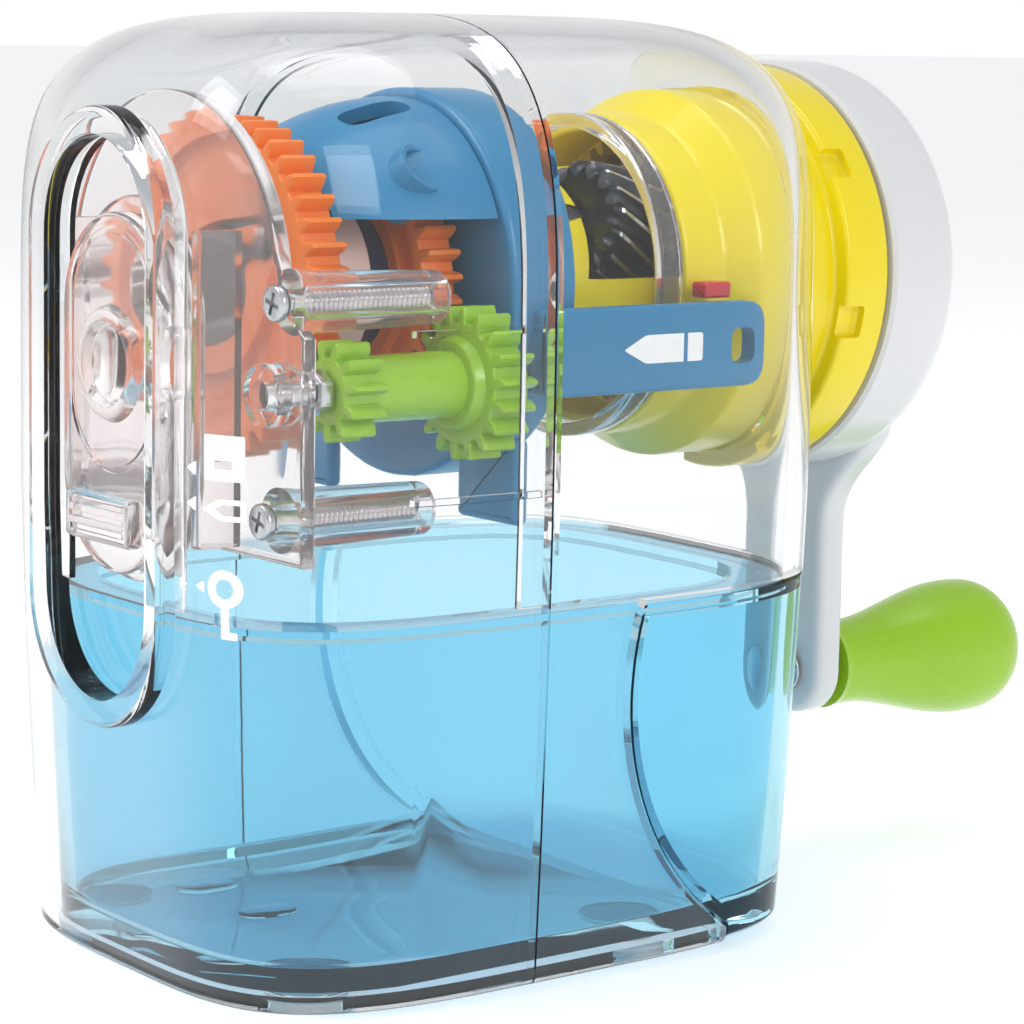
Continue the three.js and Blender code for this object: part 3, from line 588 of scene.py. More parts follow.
def rubber(name, tint):
    """Matt rubber with a fine speckled grain."""
    finish = Finish(name)
    speck = finish.noise(1500.0, 4.0)
    finish.set(Base_Color=finish.mix(speck, rgba(tint, 0.8), rgba(tint, 1.1)), Roughness=speck * 0.2 + 0.6)
    return finish.bump(speck, 0.3, 0.0002).material


def ink(name, tint):
    """Pad-printed ink: nearly solid, with pinholes and a slight edge of thin colour."""
    finish = Finish(name)
    film = finish.noise(1400.0, 3.0)
    finish.set(Base_Color=finish.mix(film, rgba(tint, 0.9), rgba(tint, 1.05)), Roughness=film * 0.2 + 0.35)
    return finish.bump(film, 0.15, 0.0001).material


MADE = {}


def material(key):
    """The finish of that name, made once."""
    if key in MADE:
        return MADE[key]
    look = bpy.context.scene.sharpener_finishes
    makers = {
        "clear": lambda: clear("clear_shell_plastic", look.clear, haze=0.004),
        "blue_clear": lambda: clear("clear_blue_plastic", look.blue_clear, 0.02, 1.26, 0.03, 0.012),
        "cloudy": lambda: clear("cloudy_clear_plastic", look.cloudy, 0.07, 1.32, 0.08, 0.05),
        "orange": lambda: moulded("orange_plastic", look.orange, 0.36, 0.2),
        "lime": lambda: moulded("lime_plastic", look.lime, 0.28, 0.3),
        "blue": lambda: moulded("blue_plastic", look.blue, 0.34, 0.2),
        "yellow": lambda: moulded("yellow_plastic", look.yellow, 0.3, 0.3),
        "navy": lambda: moulded("navy_plastic", look.navy, 0.3),
        "pink": lambda: moulded("pink_plastic", look.pink, 0.3, 0.3),
        "white": lambda: moulded("white_plastic", look.white, 0.26, 0.35),
        "red": lambda: moulded("red_plastic", look.red, 0.28, 0.3),
        "grey": lambda: moulded("grey_plastic", look.grey, 0.5, 0.0),
        "foot": lambda: rubber("foot_rubber", look.foot),
        "steel": lambda: metal("turned_steel", look.steel, 0.2),
        "blade": lambda: metal("blade_steel", look.blade, 0.3, (6.0, 1.0, 6.0)),
        "ground": lambda: metal("ground_steel", look.steel, 0.26, (6.0, 1.0, 6.0)),
        "sintered": lambda: metal("sintered_metal", look.sintered, 0.42, (1.0, 1.0, 1.0), 0.3),
        "ink": lambda: ink("printed_ink", look.ink),
    }
    MADE[key] = makers[key]()
    return MADE[key]


# ---- the body's form ----
def superellipse(share, power):
    """One coordinate from the other, both as shares of a half size.

    The share is raised to the power and taken from one, and the same power's root is taken of what is left.
    """
    return (1 - share ** power) ** (1 / power)


def plan_at(z, drawn_in):
    """Half width and half depth at each height: draft below, and a superellipse dome above."""
    b = body_sizes()
    top = TOP - drawn_in
    draft = 1 - b.draft * (np.maximum(b.draft_height - z, 0) / b.draft_height) ** 1.5
    side_start, end_start = TOP - b.side_dome, TOP - b.end_dome
    side = np.clip((z - side_start) / (top - side_start), 0, 1)
    end = np.clip((z - end_start) / (top - end_start), 0, 1)
    half_width = (HALF_WIDTH * draft - drawn_in) * superellipse(side, b.side_power)
    half_depth = (HALF_DEPTH * draft - drawn_in) * superellipse(end, b.end_power)
    return half_width, half_depth


def half_width_at(y, z, drawn_in):
    """The body's half width at one depth and height, by the plan's superellipse."""
    half_width, half_depth = plan_at(z, drawn_in)
    share = np.minimum(np.abs((y - MIDDLE_Y) / half_depth), 1)
    return half_width * superellipse(share, body_sizes().plan_power)


def body_form(drawn_in, low, high=None, around=160, foot=0.0):
    """Superellipse plans stacked over the height, drawn in evenly, closed flat at both ends.

    The plan's points are cos and sin raised to 2 / power. The foot may draw in by a quarter round.
    """
    b = body_sizes()
    top = TOP - drawn_in
    start = TOP - b.side_dome
    rise = np.sin(np.linspace(0.12, 1.545, 26)) ** (2 / b.side_power)
    toe_levels = np.linspace(low, low + foot, 6) if foot else [low]
    wall_levels = [0.25 * start, 0.5 * start, 0.75 * start, start]
    levels = np.concatenate([toe_levels, wall_levels, start + rise * (top - start)])
    levels = np.unique(levels[(levels >= low) & (levels < (high or top))])
    if high:
        levels = np.append(levels[levels < high - 0.4], high)
    half_width, half_depth = plan_at(levels, drawn_in)
    if foot:
        lift = np.clip(1 - (levels - low) / foot, 0, 1)
        toe = foot * (1 - np.sqrt(np.maximum(1 - lift ** 2, 0)))
        half_width, half_depth = half_width - toe, half_depth - toe
    angle = np.arange(around) * TURN / around
    c, s = np.cos(angle), np.sin(angle)
    x = np.sign(c) * np.abs(c) ** (2 / b.plan_power)
    y = np.sign(s) * np.abs(s) ** (2 / b.plan_power)
    rings = np.stack([
        half_width[:, None] * x, MIDDLE_Y + half_depth[:, None] * y, np.repeat(levels[:, None], around, 1),
    ], -1)
    return loft(rings)


def span(y0=-FAR, y1=FAR, z0=-FAR, z1=FAR):
    """A box for cutting, which reaches far past the object in each direction that isn't given."""
    return block(-FAR, FAR, y0, y1, z0, z1)


def shell_form():
    """The whole clear body before it is split: the outer form less the same form set in by the wall."""
    b = body_sizes()
    return cut(body_form(0, REAR.z0, foot=1.6), body_form(b.wall, -10))


def drawer_window(gap):
    """The space behind an arc in Y and Z, with a straight toe below, right across the body."""
    b = body_sizes()
    radius = b.cutout_radius - gap
    centre = BACK_Y - b.cutout_depth + b.cutout_radius
    angle = np.linspace(math.pi / 2, 3 * math.pi / 2, 64)
    arc = np.stack([centre + radius * np.cos(angle), b.cutout_z + radius * np.sin(angle)], 1)
    ends = [[centre + 20, b.cutout_z - radius], [centre + 20, b.cutout_z + radius]]
    round_part = moved(plate(np.vstack([arc, ends]), -FAR, FAR, 0.0), SWAP_XY)
    round_part = meet(round_part, span(z1=RIM_Z + b.slide - gap))
    return join(round_part, span(y0=TOE_Y + gap, z1=b.cutout_z))


def opening_outline(extra=0.0):
    """The front opening's stadium, long enough for the gate's travel, and larger all round by an extra."""
    b = body_sizes()
    half = b.gate_half + b.slide + extra
    low = GATE_Z - b.gate_bottom - b.opening_below - extra
    high = GATE_Z + b.gate_top + GATE_TRAVEL + 0.5 + extra
    return stadium(half, low, high, 40)


def side_rib(side, z):
    """A thin level rib inside the front shell's side wall, running forward from the seam."""
    b = body_sizes()
    near, far = sorted((side * 20, side * FAR))
    band = block(near, far, GEARBOX.y1 - 9, FRONT.y1 - 0.3, z - 0.4, z + 0.4)
    return cut(meet(body_form(b.wall - 0.3, 10), band), body_form(b.wall + 0.9, 5))


def front_shell():
    """The clear front half, with a raised rim round its opening and a pair of ribs inside each side."""
    b = body_sizes()
    rim = plate(opening_outline(b.bezel_width), FRONT.y0, FRONT_Y + b.wall + 1.4, 1.1, 6)
    rim = cut(rim, meet(body_form(b.wall, -10), span(y1=MIDDLE_Y, z1=RIM_Z + 1)))
    piece = meet(shell_form(), span(y1=FRONT.y1))
    piece = cut(join(piece, rim), plate(opening_outline(), FRONT.y0 - 3, GATE_BACK_Y + 1))
    piece = join(piece, *(side_rib(side, z) for side in (-1, 1) for z in (AXIS_Z - 3.6, AXIS_Z - 23.6)))
    finished(piece, "clear_front_shell", "housing", "clear", ["front_shell"])


def rear_shell():
    """The clear rear half, with a lip that reaches into the front one, open for the drawer and the drum."""
    b = body_sizes()
    seam = FRONT.y1
    inset_by = b.wall + b.gap
    piece = meet(shell_form(), span(y0=seam + b.gap))
    root = cut(body_form(b.wall - 0.4, 1), body_form(inset_by + b.lip_thick, -10))
    lip = cut(body_form(inset_by, 1), body_form(inset_by + b.lip_thick, -10))
    above = RIM_Z + b.slide + b.gap
    root = meet(root, span(y0=seam + b.gap, y1=seam + 2.4, z0=above))
    lip = meet(lip, span(y0=seam - b.lip_reach, y1=seam + 1, z0=above))
    drum_hole = rod(RING.x1 - DRUM_STEP + b.gap, MIDDLE_Y + 24, FAR / 2, steps=128)
    piece = cut(join(piece, root, lip), drawer_window(0), drum_hole)
    finished(piece, "clear_rear_shell", "housing", "clear", ["rear_shell"])


def base_plate():
    """The body's form between the plate's two heights, bored for the four feet."""
    b, box = body_sizes(), Place("base_plate")
    piece = meet(body_form(b.wall + b.gap, box.z0, box.z1), span(y1=box.y1))
    for foot in FEET:
        hole = rod((foot.x1 - foot.x0) / 2 + b.gap, -1, foot.z1 + b.gap, foot.x, foot.y, 0.1, 48)
        piece = cut(piece, moved(hole, SWAP_YZ))
    finished(piece, "clear_base_plate", "housing", "clear", ["base_plate"])


def feet():
    """A round pad with a rounded rim and a shallow dish under it."""
    for place, foot in zip(FOOT_NAMES, FEET):
        radius = (foot.x1 - foot.x0) / 2
        dish = [[0, 0.15], [radius * 0.55, 0.15], [radius * 0.7, 0]]
        profile = np.vstack([dish, rounded([[radius, 0], [radius, foot.z1]], 0.0), [[0, foot.z1]]])
        piece = moved(lathe(profile, foot.x, foot.y, 48), SWAP_YZ)
        finished(piece, f"rubber_{place}", "housing", "foot", [place])


def slide_form(drawn_in):
    """A long wedge in X and Z whose sides lean in towards the drawer's floor."""
    b = body_sizes()
    low = half_width_at(TOE_Y, FLOOR_Z, b.wall) - b.slide - drawn_in
    high = plan_at(np.array(RIM_Z), b.wall + b.slide)[0] - drawn_in
    slope = (high - low) / (RIM_Z - FLOOR_Z)
    foot, top = low - slope * FLOOR_Z, low + slope * (2 * RIM_Z - FLOOR_Z)
    return plate(np.array([[-foot, 0], [foot, 0], [top, 2 * RIM_Z], [-top, 2 * RIM_Z]]), -FAR, FAR, 0.0)


def drawer():
    """The sliding tray and the flush back are one body, hollowed by the same two forms set in by the wall."""
    b, box = body_sizes(), Place("drawer")
    drawn_in = b.wall + b.slide
    tray = meet(body_form(drawn_in, FLOOR_Z, RIM_Z), slide_form(0))
    back = meet(body_form(0.2, box.z0, RIM_Z, foot=1.2), drawer_window(b.slide))
    low, high = FLOOR_Z + b.drawer_wall, RIM_Z - b.drawer_rim
    hollow = meet(body_form(drawn_in + b.drawer_wall, low, high, foot=2.0), slide_form(b.drawer_wall))
    behind = meet(body_form(0.2 + b.drawer_wall, low, high, foot=2.0), drawer_window(b.slide + b.drawer_wall))
    mouth = body_form(drawn_in + b.drawer_wall + b.drawer_flange, high - 2, RIM_Z + 5)
    piece = cut(join(tray, back), join(hollow, behind), mouth)
    for x, y in ((-13.0, -24.0), (1.0, -24.0)):
        pad = plate(stadium(2.4, -3.8, 3.8, 16), low - 0.5, low + 0.45, 0.35)
        piece = join(piece, moved(pad, Matrix.Translation((x, MIDDLE_Y + y, 0)) @ SWAP_YZ))
    finished(piece, "clear_blue_drawer", "drawer", "blue_clear", ["drawer"])


# ---- gate and gearbox ----
def pencil_gate():
    """Two stadium plates with a proud funnel ring, a shallow panel line and a ridged finger grip."""
    b = body_sizes()
    low, high = GATE_Z - b.gate_bottom, GATE_Z + b.gate_top
    front, back = GATE.y1 - 2, GATE.y1
    face = front - 3
    hole = b.bore / 2
    foot, tip = face + 0.5, face - 1.2
    mouth = [[hole + 0.3, foot], [hole + 0.6, tip], [hole + 2.1, tip], [hole + 3.0, foot]]
    grip_half = 7.5
    piece = join(
        plate(stadium(b.gate_half, low, high, 40), face, front + 0.2, 0.7, 5),
        plate(stadium(b.gate_half + b.gate_flange, low - 1.2, high + 2, 40), front, back, 0.4),
        lathe(rounded(mouth, 0.5), 0, GATE_Z),
        block(-grip_half, grip_half, GATE.y0, face + 0.2, low + 4, low + 10, 0.8),
    )
    for step in range(3):
        z, half = low + 5.2 + 1.6 * step, grip_half - 1.2
        piece = cut(piece, block(-half, half, GATE.y0 - 1, GATE.y0 + 0.5, z, z + 0.7))
    line = plate(stadium(b.gate_half - 1.8, low + 12.5, high - 1.8, 36), face - 1, face + 0.35, 0.0)
    inner = plate(stadium(b.gate_half - 2.6, low + 13.3, high - 2.6, 36), face - 2, face + 2, 0.0)
    throat = [[0, face - 1.3], [hole + 0.9, face - 1.3], [hole, face + 0.6], [hole, back + 1], [0, back + 1]]
    funnel = lathe(throat, 0, GATE_Z)
    guard = rod(hole + 2.6, face - 3, face + 3, 0, GATE_Z)
    piece = cut(piece, cut(line, inner, guard), funnel)
    finished(piece, "sliding_pencil_gate", "gate", "cloudy", ["pencil_gate"])


def gearbox_plate():
    """A flat plate, half round at the top, with four hollow screw posts, a shaft boss and two gate rails."""
    b = body_sizes()
    front_gear = Place("front_gear")
    half = GEARBOX.x1
    low = GEARBOX.z0
    thick = 2.0
    face = PLATE_Y
    arc = np.linspace(0, math.pi, 40)
    reach = front_gear.r + 2.9
    outline = np.vstack([
        np.stack([reach * np.cos(arc), AXIS_Z + reach * np.sin(arc)], 1),
        [[-half, AXIS_Z - 4]], rounded([[-half, low], [half, low]], 3.0, closed=False), [[half, AXIS_Z - 4]],
    ])
    piece = plate(outline, face, face + thick, 0.4)
    holes = []
    for screw in SCREWS:
        post_end = GEARBOX.y1
        corners = [[0, face + 0.3], [4.1, face + 0.3], [3.7, face + 4], [3.3, post_end], [0, post_end]]
        piece = join(piece, lathe(rounded(corners, 0.6, closed=False), screw.x, screw.z, 48))
        holes.append(rod(1.6, face - 3, post_end + 2, screw.x, screw.z, steps=32))
    piece = join(piece, rod(3.8, face - 2, face + 2.6, SHAFT.x, SHAFT.z, 0.5, 48))
    for side in (-1, 1):
        rail = side * (b.gate_half + b.gate_flange + b.gap + 1)
        piece = join(piece, block(rail - 1, rail + 1, GEARBOX.y0, face + 0.5, low + 1, AXIS_Z + 8, 0.3))
    holes.append(rod(b.bore / 2 + 1, face - 3, face + 5))
    holes.append(rod(SHAFT_BORE, face - 3, face + 5, SHAFT.x, SHAFT.z, steps=32))
    piece = cut(piece, *holes)
    finished(piece, "clear_gearbox_plate", "housing", "cloudy", ["gearbox_plate"])


def threaded(radius, head, head_depth, y0, y1, x, z):
    """A screw: a head with a cross recess, and a core whose radius follows a cosine, once a pitch."""
    pitch = 0.7
    shank = y0 + head_depth
    along = np.arange(shank + 0.4, y1 - 0.6, pitch / 4)
    wave = radius - 0.14 + 0.14 * np.cos((along - shank) * TURN / pitch)
    top = rounded([[0, y0], [head, y0], [head, shank], [radius - 0.1, shank]], 0.45, closed=False)
    profile = np.vstack([top, np.stack([wave, along], 1), [[radius * 0.6, y1], [0, y1]]])
    piece = lathe(profile, x, z, 40)
    for turn in (0.3, 0.3 + math.pi / 2):
        slot = block(-head * 0.62, head * 0.62, y0 - 1, y0 + 0.8, -0.28, 0.28)
        piece = cut(piece, moved(slot, Matrix.Translation((x, 0, z)) @ Matrix.Rotation(turn, 4, "Y")))
    return piece


def gearbox_screws():
    """The four screws, the hexagon nut and the plain shaft that carries the transfer gear."""
    for name, box in zip(SCREW_NAMES, SCREWS):
        piece = threaded(1.3, 2.2, 1.3, box.y0, box.y1, box.x, box.z)
        finished(piece, "steel_" + name, "housing", "steel", [name])
    nut_box = Place("transfer_nut")
    angle = np.arange(6) * TURN / 6 + TURN / 12
    across = (nut_box.x1 - nut_box.x0) / 2 / math.cos(math.pi / 6)
    flats = np.stack([across * np.cos(angle), across * np.sin(angle)], 1)
    nut = plate(rounded(flats, 0.35), nut_box.y0, nut_box.y1, 0.3)
    nut = cut(moved(nut, Matrix.Translation((nut_box.x, 0, nut_box.z))),
              rod(1.7, nut_box.y0 - 2, nut_box.y1 + 2, nut_box.x, nut_box.z, steps=32))
    finished(nut, "steel_hexagon_nut", "housing", "steel", ["transfer_nut"])
    shaft = rod(1.5, SHAFT.y0, SHAFT.y1, SHAFT.x, SHAFT.z, 0.4, 48)
    finished(shaft, "steel_transfer_shaft", "housing", "steel", ["transfer_shaft"])


# ---- gears ----
def gear(teeth, phase, y0, y1, x, z, bore, recess=0.0, hub=0.0):
    """A spur gear with rounded rims. A ring may be sunk into both faces between its hub and its rim."""
    g = gear_sizes()
    piece = moved(plate(gear_outline(teeth, g.module, phase), y0, y1, 0.35), Matrix.Translation((x, 0, z)))
    root = g.module * (teeth / 2 - 1.2)
    if recess:
        for face, deep in ((y0, y0 + recess), (y1 - recess, y1)):
            low, high = (face - 1, deep) if face == y0 else (face, deep + 1)
            piece = cut(piece, tube(root - 1.6, hub, low, high, x, z, 0.4))
    return cut(piece, rod(bore, y0 - 2, y1 + 2, x, z))


def feed_gears():
    """The chuck's gear, the spindle's gear, and the two transfer wheels on one tube."""
    g = gear_sizes()
    mesh = math.atan2(SHAFT.z - AXIS_Z, SHAFT.x)
    front, rear, transfer = Place("front_gear"), Place("rear_gear"), Place("transfer_gear")
    piece = gear(g.front_teeth, mesh, front.y0, front.y1, 0, AXIS_Z, 7.8, 1.3, 11.0)
    finished(piece, "orange_front_gear", "chuck", "orange", ["front_gear"])
    piece = gear(g.rear_teeth, mesh, rear.y0, rear.y1, 0, AXIS_Z, 9.3, 1.2, 11.2)
    finished(piece, "orange_rear_gear", "crank", "orange", ["rear_gear"])
    bore, back = SHAFT_BORE, mesh + math.pi
    big = gear(g.big_teeth, back + math.pi / g.big_teeth, rear.y0, rear.y1, SHAFT.x, SHAFT.z, bore)
    small = gear(g.small_teeth, back + math.pi / g.small_teeth, front.y0, front.y1, SHAFT.x, SHAFT.z, bore)
    start, end = front.y0 + 0.2, rear.y1 - 0.2
    barrel = rounded([[bore, start], [4.0, start], [4.2, end], [bore, end]], 0.2)
    start, end = rear.y0 - 1.4, rear.y0 + 0.5
    collar = rounded([[bore, start], [5.4, start], [6.0, end], [bore, end]], 0.3)
    piece = join(big, small, lathe(barrel, SHAFT.x, SHAFT.z), lathe(collar, SHAFT.x, SHAFT.z))
    piece = cut(piece, rod(bore, transfer.y0 - 2, transfer.y1 + 2, SHAFT.x, SHAFT.z, steps=48))
    finished(piece, "lime_transfer_gear", "transfer", "lime", ["transfer_gear"])


def chuck_and_spindle():
    """A sleeve with one groove round it, the hollow spindle, and three jaws that are sectors of a ring."""
    sleeve, spindle = Place("chuck_sleeve"), Place("spindle_tube")
    bore, outer, groove, y = 8.0, sleeve.r, sleeve.r - 0.7, sleeve.y0
    ribs = [[bore, y], [outer, y], [outer, y + 3], [groove, y + 3.4], [groove, y + 5], [outer, y + 5.4],
            [outer, sleeve.y1], [bore, sleeve.y1]]
    piece = lathe(rounded(ribs, 0.3))
    finished(piece, "pink_chuck_sleeve", "chuck", "pink", ["chuck_sleeve"])
    piece = tube(spindle.r, 5.4, spindle.y0, spindle.y1, edge=0.5)
    finished(piece, "navy_hollow_spindle", "crank", "navy", ["spindle_tube"])
    for number in (1, 2, 3):
        name = f"chuck_jaw_{number}"
        box = Place(name)
        middle = math.radians((number - 1) * 120 + 90)
        half = math.radians(56)
        angle = np.linspace(middle - half, middle + half, 24)
        direction = np.stack([np.cos(angle), np.sin(angle)], 1)
        ring = np.vstack([7.4 * direction, 4.9 * direction[::-1]])
        jaw = moved(plate(ring, box.y0, box.y1, 0.35), Matrix.Translation((0, 0, AXIS_Z)))
        finished(jaw, f"grey_{name}", "chuck", "grey", [name])


# ---- blue frame ----
def mech_frame():
    """A round drum with a rolled rim, two slotted side arms and two ears."""
    box = Place("mech_frame")
    drum = box.x1 - 3.3
    y = box.y0
    profile = [[9.8, y], [drum, y], [drum, y + 10], [drum - 2, y + 10], [drum - 2, y + 2.2], [9.8, y + 2.2]]
    piece = lathe(rounded(profile, 0.9), steps=160)
    low, high = AXIS_Z - 13, AXIS_Z - 2
    for side in (-1, 1):
        inner, outer = sorted((side * (box.x1 - 2.4), side * box.x1))
        outline = rounded(oblong(y + 3, box.y1, low, high), 3.2)
        arm = moved(plate(outline, inner, outer, 0.6), SWAP_XY)
        slot = rounded(oblong(box.y1 - 6, box.y1 - 2, AXIS_Z - 10, AXIS_Z - 5.4), 1.4)
        arm = cut(arm, moved(plate(slot, inner - 2, outer + 2, 0.0), SWAP_XY))
        near, far = sorted((side * (drum - 3.5), side * (box.x1 - 0.6)))
        bridge = block(near, far, y + 3, y + 9, low + 0.2, high - 0.2, 0.6)
        near, far = sorted((side * 14, side * 26))
        ear = block(near, far, y + 0.2, y + 2.4, box.z0, box.z0 + 11, 1.0)
        piece = join(piece, bridge, arm, ear)
    hollow = rod(drum - 2, y + 2.4, y + 12, steps=160)
    piece = cut(piece, hollow, rod(SHAFT_BORE, y - 1, y + 5, SHAFT.x, SHAFT.z))
    finished(piece, "blue_mechanism_frame", "housing", "blue", ["mech_frame"])


def frame_hood():
    """Part of a swelling cone over the front gear, with two long windows, a small ring and the red tab.

    The radius grows from front to back by the sine of a quarter turn, raised to 0.8.
    """
    box = Place("frame_hood")
    back = box.z1 - AXIS_Z
    front, wall = back - 6.7, 2.1
    along = np.linspace(0, 1, 14)
    outer = front + (back - front) * np.sin(along * math.pi / 2) ** 0.8
    y = box.y0 + (box.y1 - box.y0) * along
    profile = np.vstack([np.stack([outer, y], 1), np.stack([outer - wall, y], 1)[::-1]])
    shell = lathe(profile, steps=160)
    above = TOP + 30
    sector = rounded(oblong(-box.x1 - 4, box.x1 + 4, box.z0, above), 1.0)
    piece = meet(shell, plate(sector, box.y0 - 1, box.y1 + 1, 0.0))
    for turn in (0.30, -0.55):
        window = plate(rounded(oblong(-2.4, 2.4, -4.6, 4.6), 2.2), 12, 40, 0.0)
        place = Matrix.Translation((0, (box.y0 + box.y1) / 2 + 2, AXIS_Z)) @ Matrix.Rotation(turn, 4, "Y")
        piece = cut(piece, moved(window, place @ SWAP_YZ))
    ring = tube(3.6, 2.7, 17, back - 0.1, 0, 0, 0.2, 64)
    place = Matrix.Translation((0, box.y0 + 5.5, AXIS_Z)) @ Matrix.Rotation(0.86, 4, "Y")
    lean = Matrix.Rotation(math.radians(-14), 4, "X")
    piece = join(piece, moved(ring, place @ lean @ SWAP_YZ))
    finished(piece, "blue_gear_hood", "housing", "blue", ["frame_hood"])
    tab = Place("release_tab")
    piece = block(tab.x0, tab.x1, tab.y0, tab.y1, tab.z0, tab.z1, 0.5)
    finished(piece, "red_release_tab", "housing", "red", ["release_tab"])


# ---- cutter, carrier and ring ----
def on_cutter_line(piece):
    """From the main frame's Y line to the cutter's own leaning line, about the joint's point."""
    point, axis = joint_place("cutter_spin")
    turn = Vector((0, 1, 0)).rotation_difference(Vector(axis)).to_matrix().to_4x4()
    return moved(piece, Matrix.Translation(Vector(point)) @ turn)


def polish_lands(blade, radius):
    """Faces whose middles lie beyond a radius of the cutter's line take the ground steel."""
    point, axis = joint_place("cutter_spin")
    blade.data.materials.append(material("ground"))
    count = len(blade.data.polygons)
    middles = np.empty(count * 3)
    blade.data.polygons.foreach_get("center", middles)
    away = np.linalg.norm(np.cross(middles.reshape(-1, 3) / MM - point, axis), axis=1)
    blade.data.polygons.foreach_set("material_index", (away > radius).astype(np.int32))


def helical_cutter():
    """The blade, its gear and its axle pin.

    The blade is a grid along and round the cutter. A fifth of each flute is a flat land, and the rest dips by
    a half sine raised to 0.6. The whole turns evenly along the length.
    """
    g = gear_sizes()
    rows, per_flute = 56, 12
    columns = g.flutes * per_flute
    share = (np.arange(columns) % per_flute) / per_flute
    land = 0.2
    gullet = np.clip((share - land) / (1 - land), 0, 1)
    scoop = np.where(share < land, 0.0, np.sin(math.pi * gullet) ** 0.6)
    along = np.linspace(0, 1, rows)
    chamfer = np.minimum(np.minimum(along, 1 - along) / 0.045, 1)
    radius = (g.cutter_radius - 1.0 * (1 - chamfer))[:, None] - 1.25 * scoop[None]
    angle = np.arange(columns) * TURN / columns + math.radians(g.cutter_twist) * along[:, None]
    y = np.repeat((-CUTTER_START - g.cutter_length * along)[:, None], columns, 1)
    piece = loft(np.stack([radius * np.cos(angle), y, radius * np.sin(angle)], -1))
    piece = on_cutter_line(cut(piece, rod(CUTTER_BORE, -40, 10, 0, 0, steps=32)))
    blade = finished(piece, "helical_blade", "cutter", "blade", ["helical_cutter"], sharp=24)
    polish_lands(blade, g.cutter_radius - 0.22)
    pinion = plate(gear_outline(g.pinion_teeth, g.cutter_module, 0, 0.72), -1.2, 1.2, 0.2)
    hub = rod(4.2, -2.0, 1.8, 0, 0, 0.3)
    pinion = on_cutter_line(cut(join(pinion, hub), rod(CUTTER_BORE, -5, 5, 0, 0, steps=32)))
    finished(pinion, "cutter_gear", "cutter", "sintered", ["cutter_pinion"])
    reach = g.cutter_length + CUTTER_START + 4.4
    axle = rod(1.6, -reach, 4.2, 0, 0, 0.3, 48)
    finished(on_cutter_line(axle), "cutter_axle_pin", "crank", "steel", ["cutter_axle"])


def carrier():
    """A drum turned with the crank, cut open for the cutter and bored for the pencil's point."""
    g, box = gear_sizes(), Place("cutter_carrier")
    flange = box.r
    back = box.y1 - 3
    reach = g.cutter_length + CUTTER_START + 0.8
    drum = rod(flange - 2.5, box.y0, back + 0.5, edge=0.8, steps=128)
    core = join(drum, rod(flange, back, box.y1, edge=0.5, steps=128))
    pocket = on_cutter_line(rod(g.cutter_radius + 0.8, -reach, -1.4, 0, 0))
    gear_room = on_cutter_line(rod(g.cutter_radius + 2.2, -2.2, 2.2, 0, 0))
    wide = g.cutter_radius + 0.8
    point, _ = joint_place("cutter_spin")
    outward_turn = math.atan2(point[0], point[2] - AXIS_Z)
    outwards = Matrix.Translation(Vector(point)) @ Matrix.Rotation(outward_turn, 4, "Y")
    lane = moved(block(-wide, wide, -reach, 1.9, 0, 30), outwards @ Matrix.Rotation(CUTTER_LEAN, 4, "X"))
    y = box.y0
    point_room = lathe([[0, y - 2], [5.2, y - 2], [5.2, y + 7], [0.8, y + 27], [0, y + 27]])
    hole = on_cutter_line(rod(CUTTER_BORE, -reach - 5, 4.6, 0, 0, steps=32))
    piece = cut(core, pocket, gear_room, lane, point_room, hole)
    finished(piece, "yellow_carrier", "crank", "yellow", ["cutter_carrier"])


def ring_housing():
    """A stepped drum with the fixed ring of teeth inside and a notched grip flange at its back."""
    g = gear_sizes()
    y0, y1 = RING.y0, RING.y1
    flange = RING.x1
    drum = flange - DRUM_STEP
    root = g.ring_teeth * g.cutter_module / 2 + 1.4
    ring_y = joint_place("cutter_spin")[0][1]
    step = y1 - 7.5
    profile = [
        [root, y0], [root + 2.6, y0], [root + 2.6, ring_y - 4], [drum, ring_y], [drum, step], [flange, step],
        [flange, y1], [6.4, y1], [6.4, step + 1], [root, step - 1],
    ]
    piece = lathe(rounded(profile, 0.7), steps=192)
    phase = math.radians(38) + math.pi / g.ring_teeth
    outline = gear_outline(g.ring_teeth, g.cutter_module, phase, 0.66, inner=True)
    band = rod(root + 0.8, ring_y - 1.3, ring_y + 1.3, 0, 0, 0.1, 128)
    teeth = cut(band, plate(outline, ring_y - 4, ring_y + 4, 0.0))
    piece = join(piece, moved(teeth, Matrix.Translation((0, 0, AXIS_Z))))
    bites = []
    for notch in range(8):
        bite = block(-2.2, 2.2, step - 1, step + 3.4, flange - 1.4, flange + 3, 0.5)
        turn = Matrix.Rotation(math.radians(notch * 45 + 12), 4, "Y")
        bites.append(moved(bite, Matrix.Translation((0, 0, AXIS_Z)) @ turn))
    piece = cut(piece, *bites)
    finished(piece, "yellow_ring_housing", "housing", "yellow", ["ring_housing"])
    box = Place("chamber_ring")
    piece = tube(box.r, root + 0.6, box.y0, box.y1, edge=0.6, steps=160)
    finished(piece, "clear_chamber_ring", "housing", "cloudy", ["chamber_ring"])
    box = Place("rear_bush")
    piece = tube(box.r, 3.4, box.y0, box.y1, edge=0.4)
    finished(piece, "white_rear_bush", "housing", "white", ["rear_bush"])


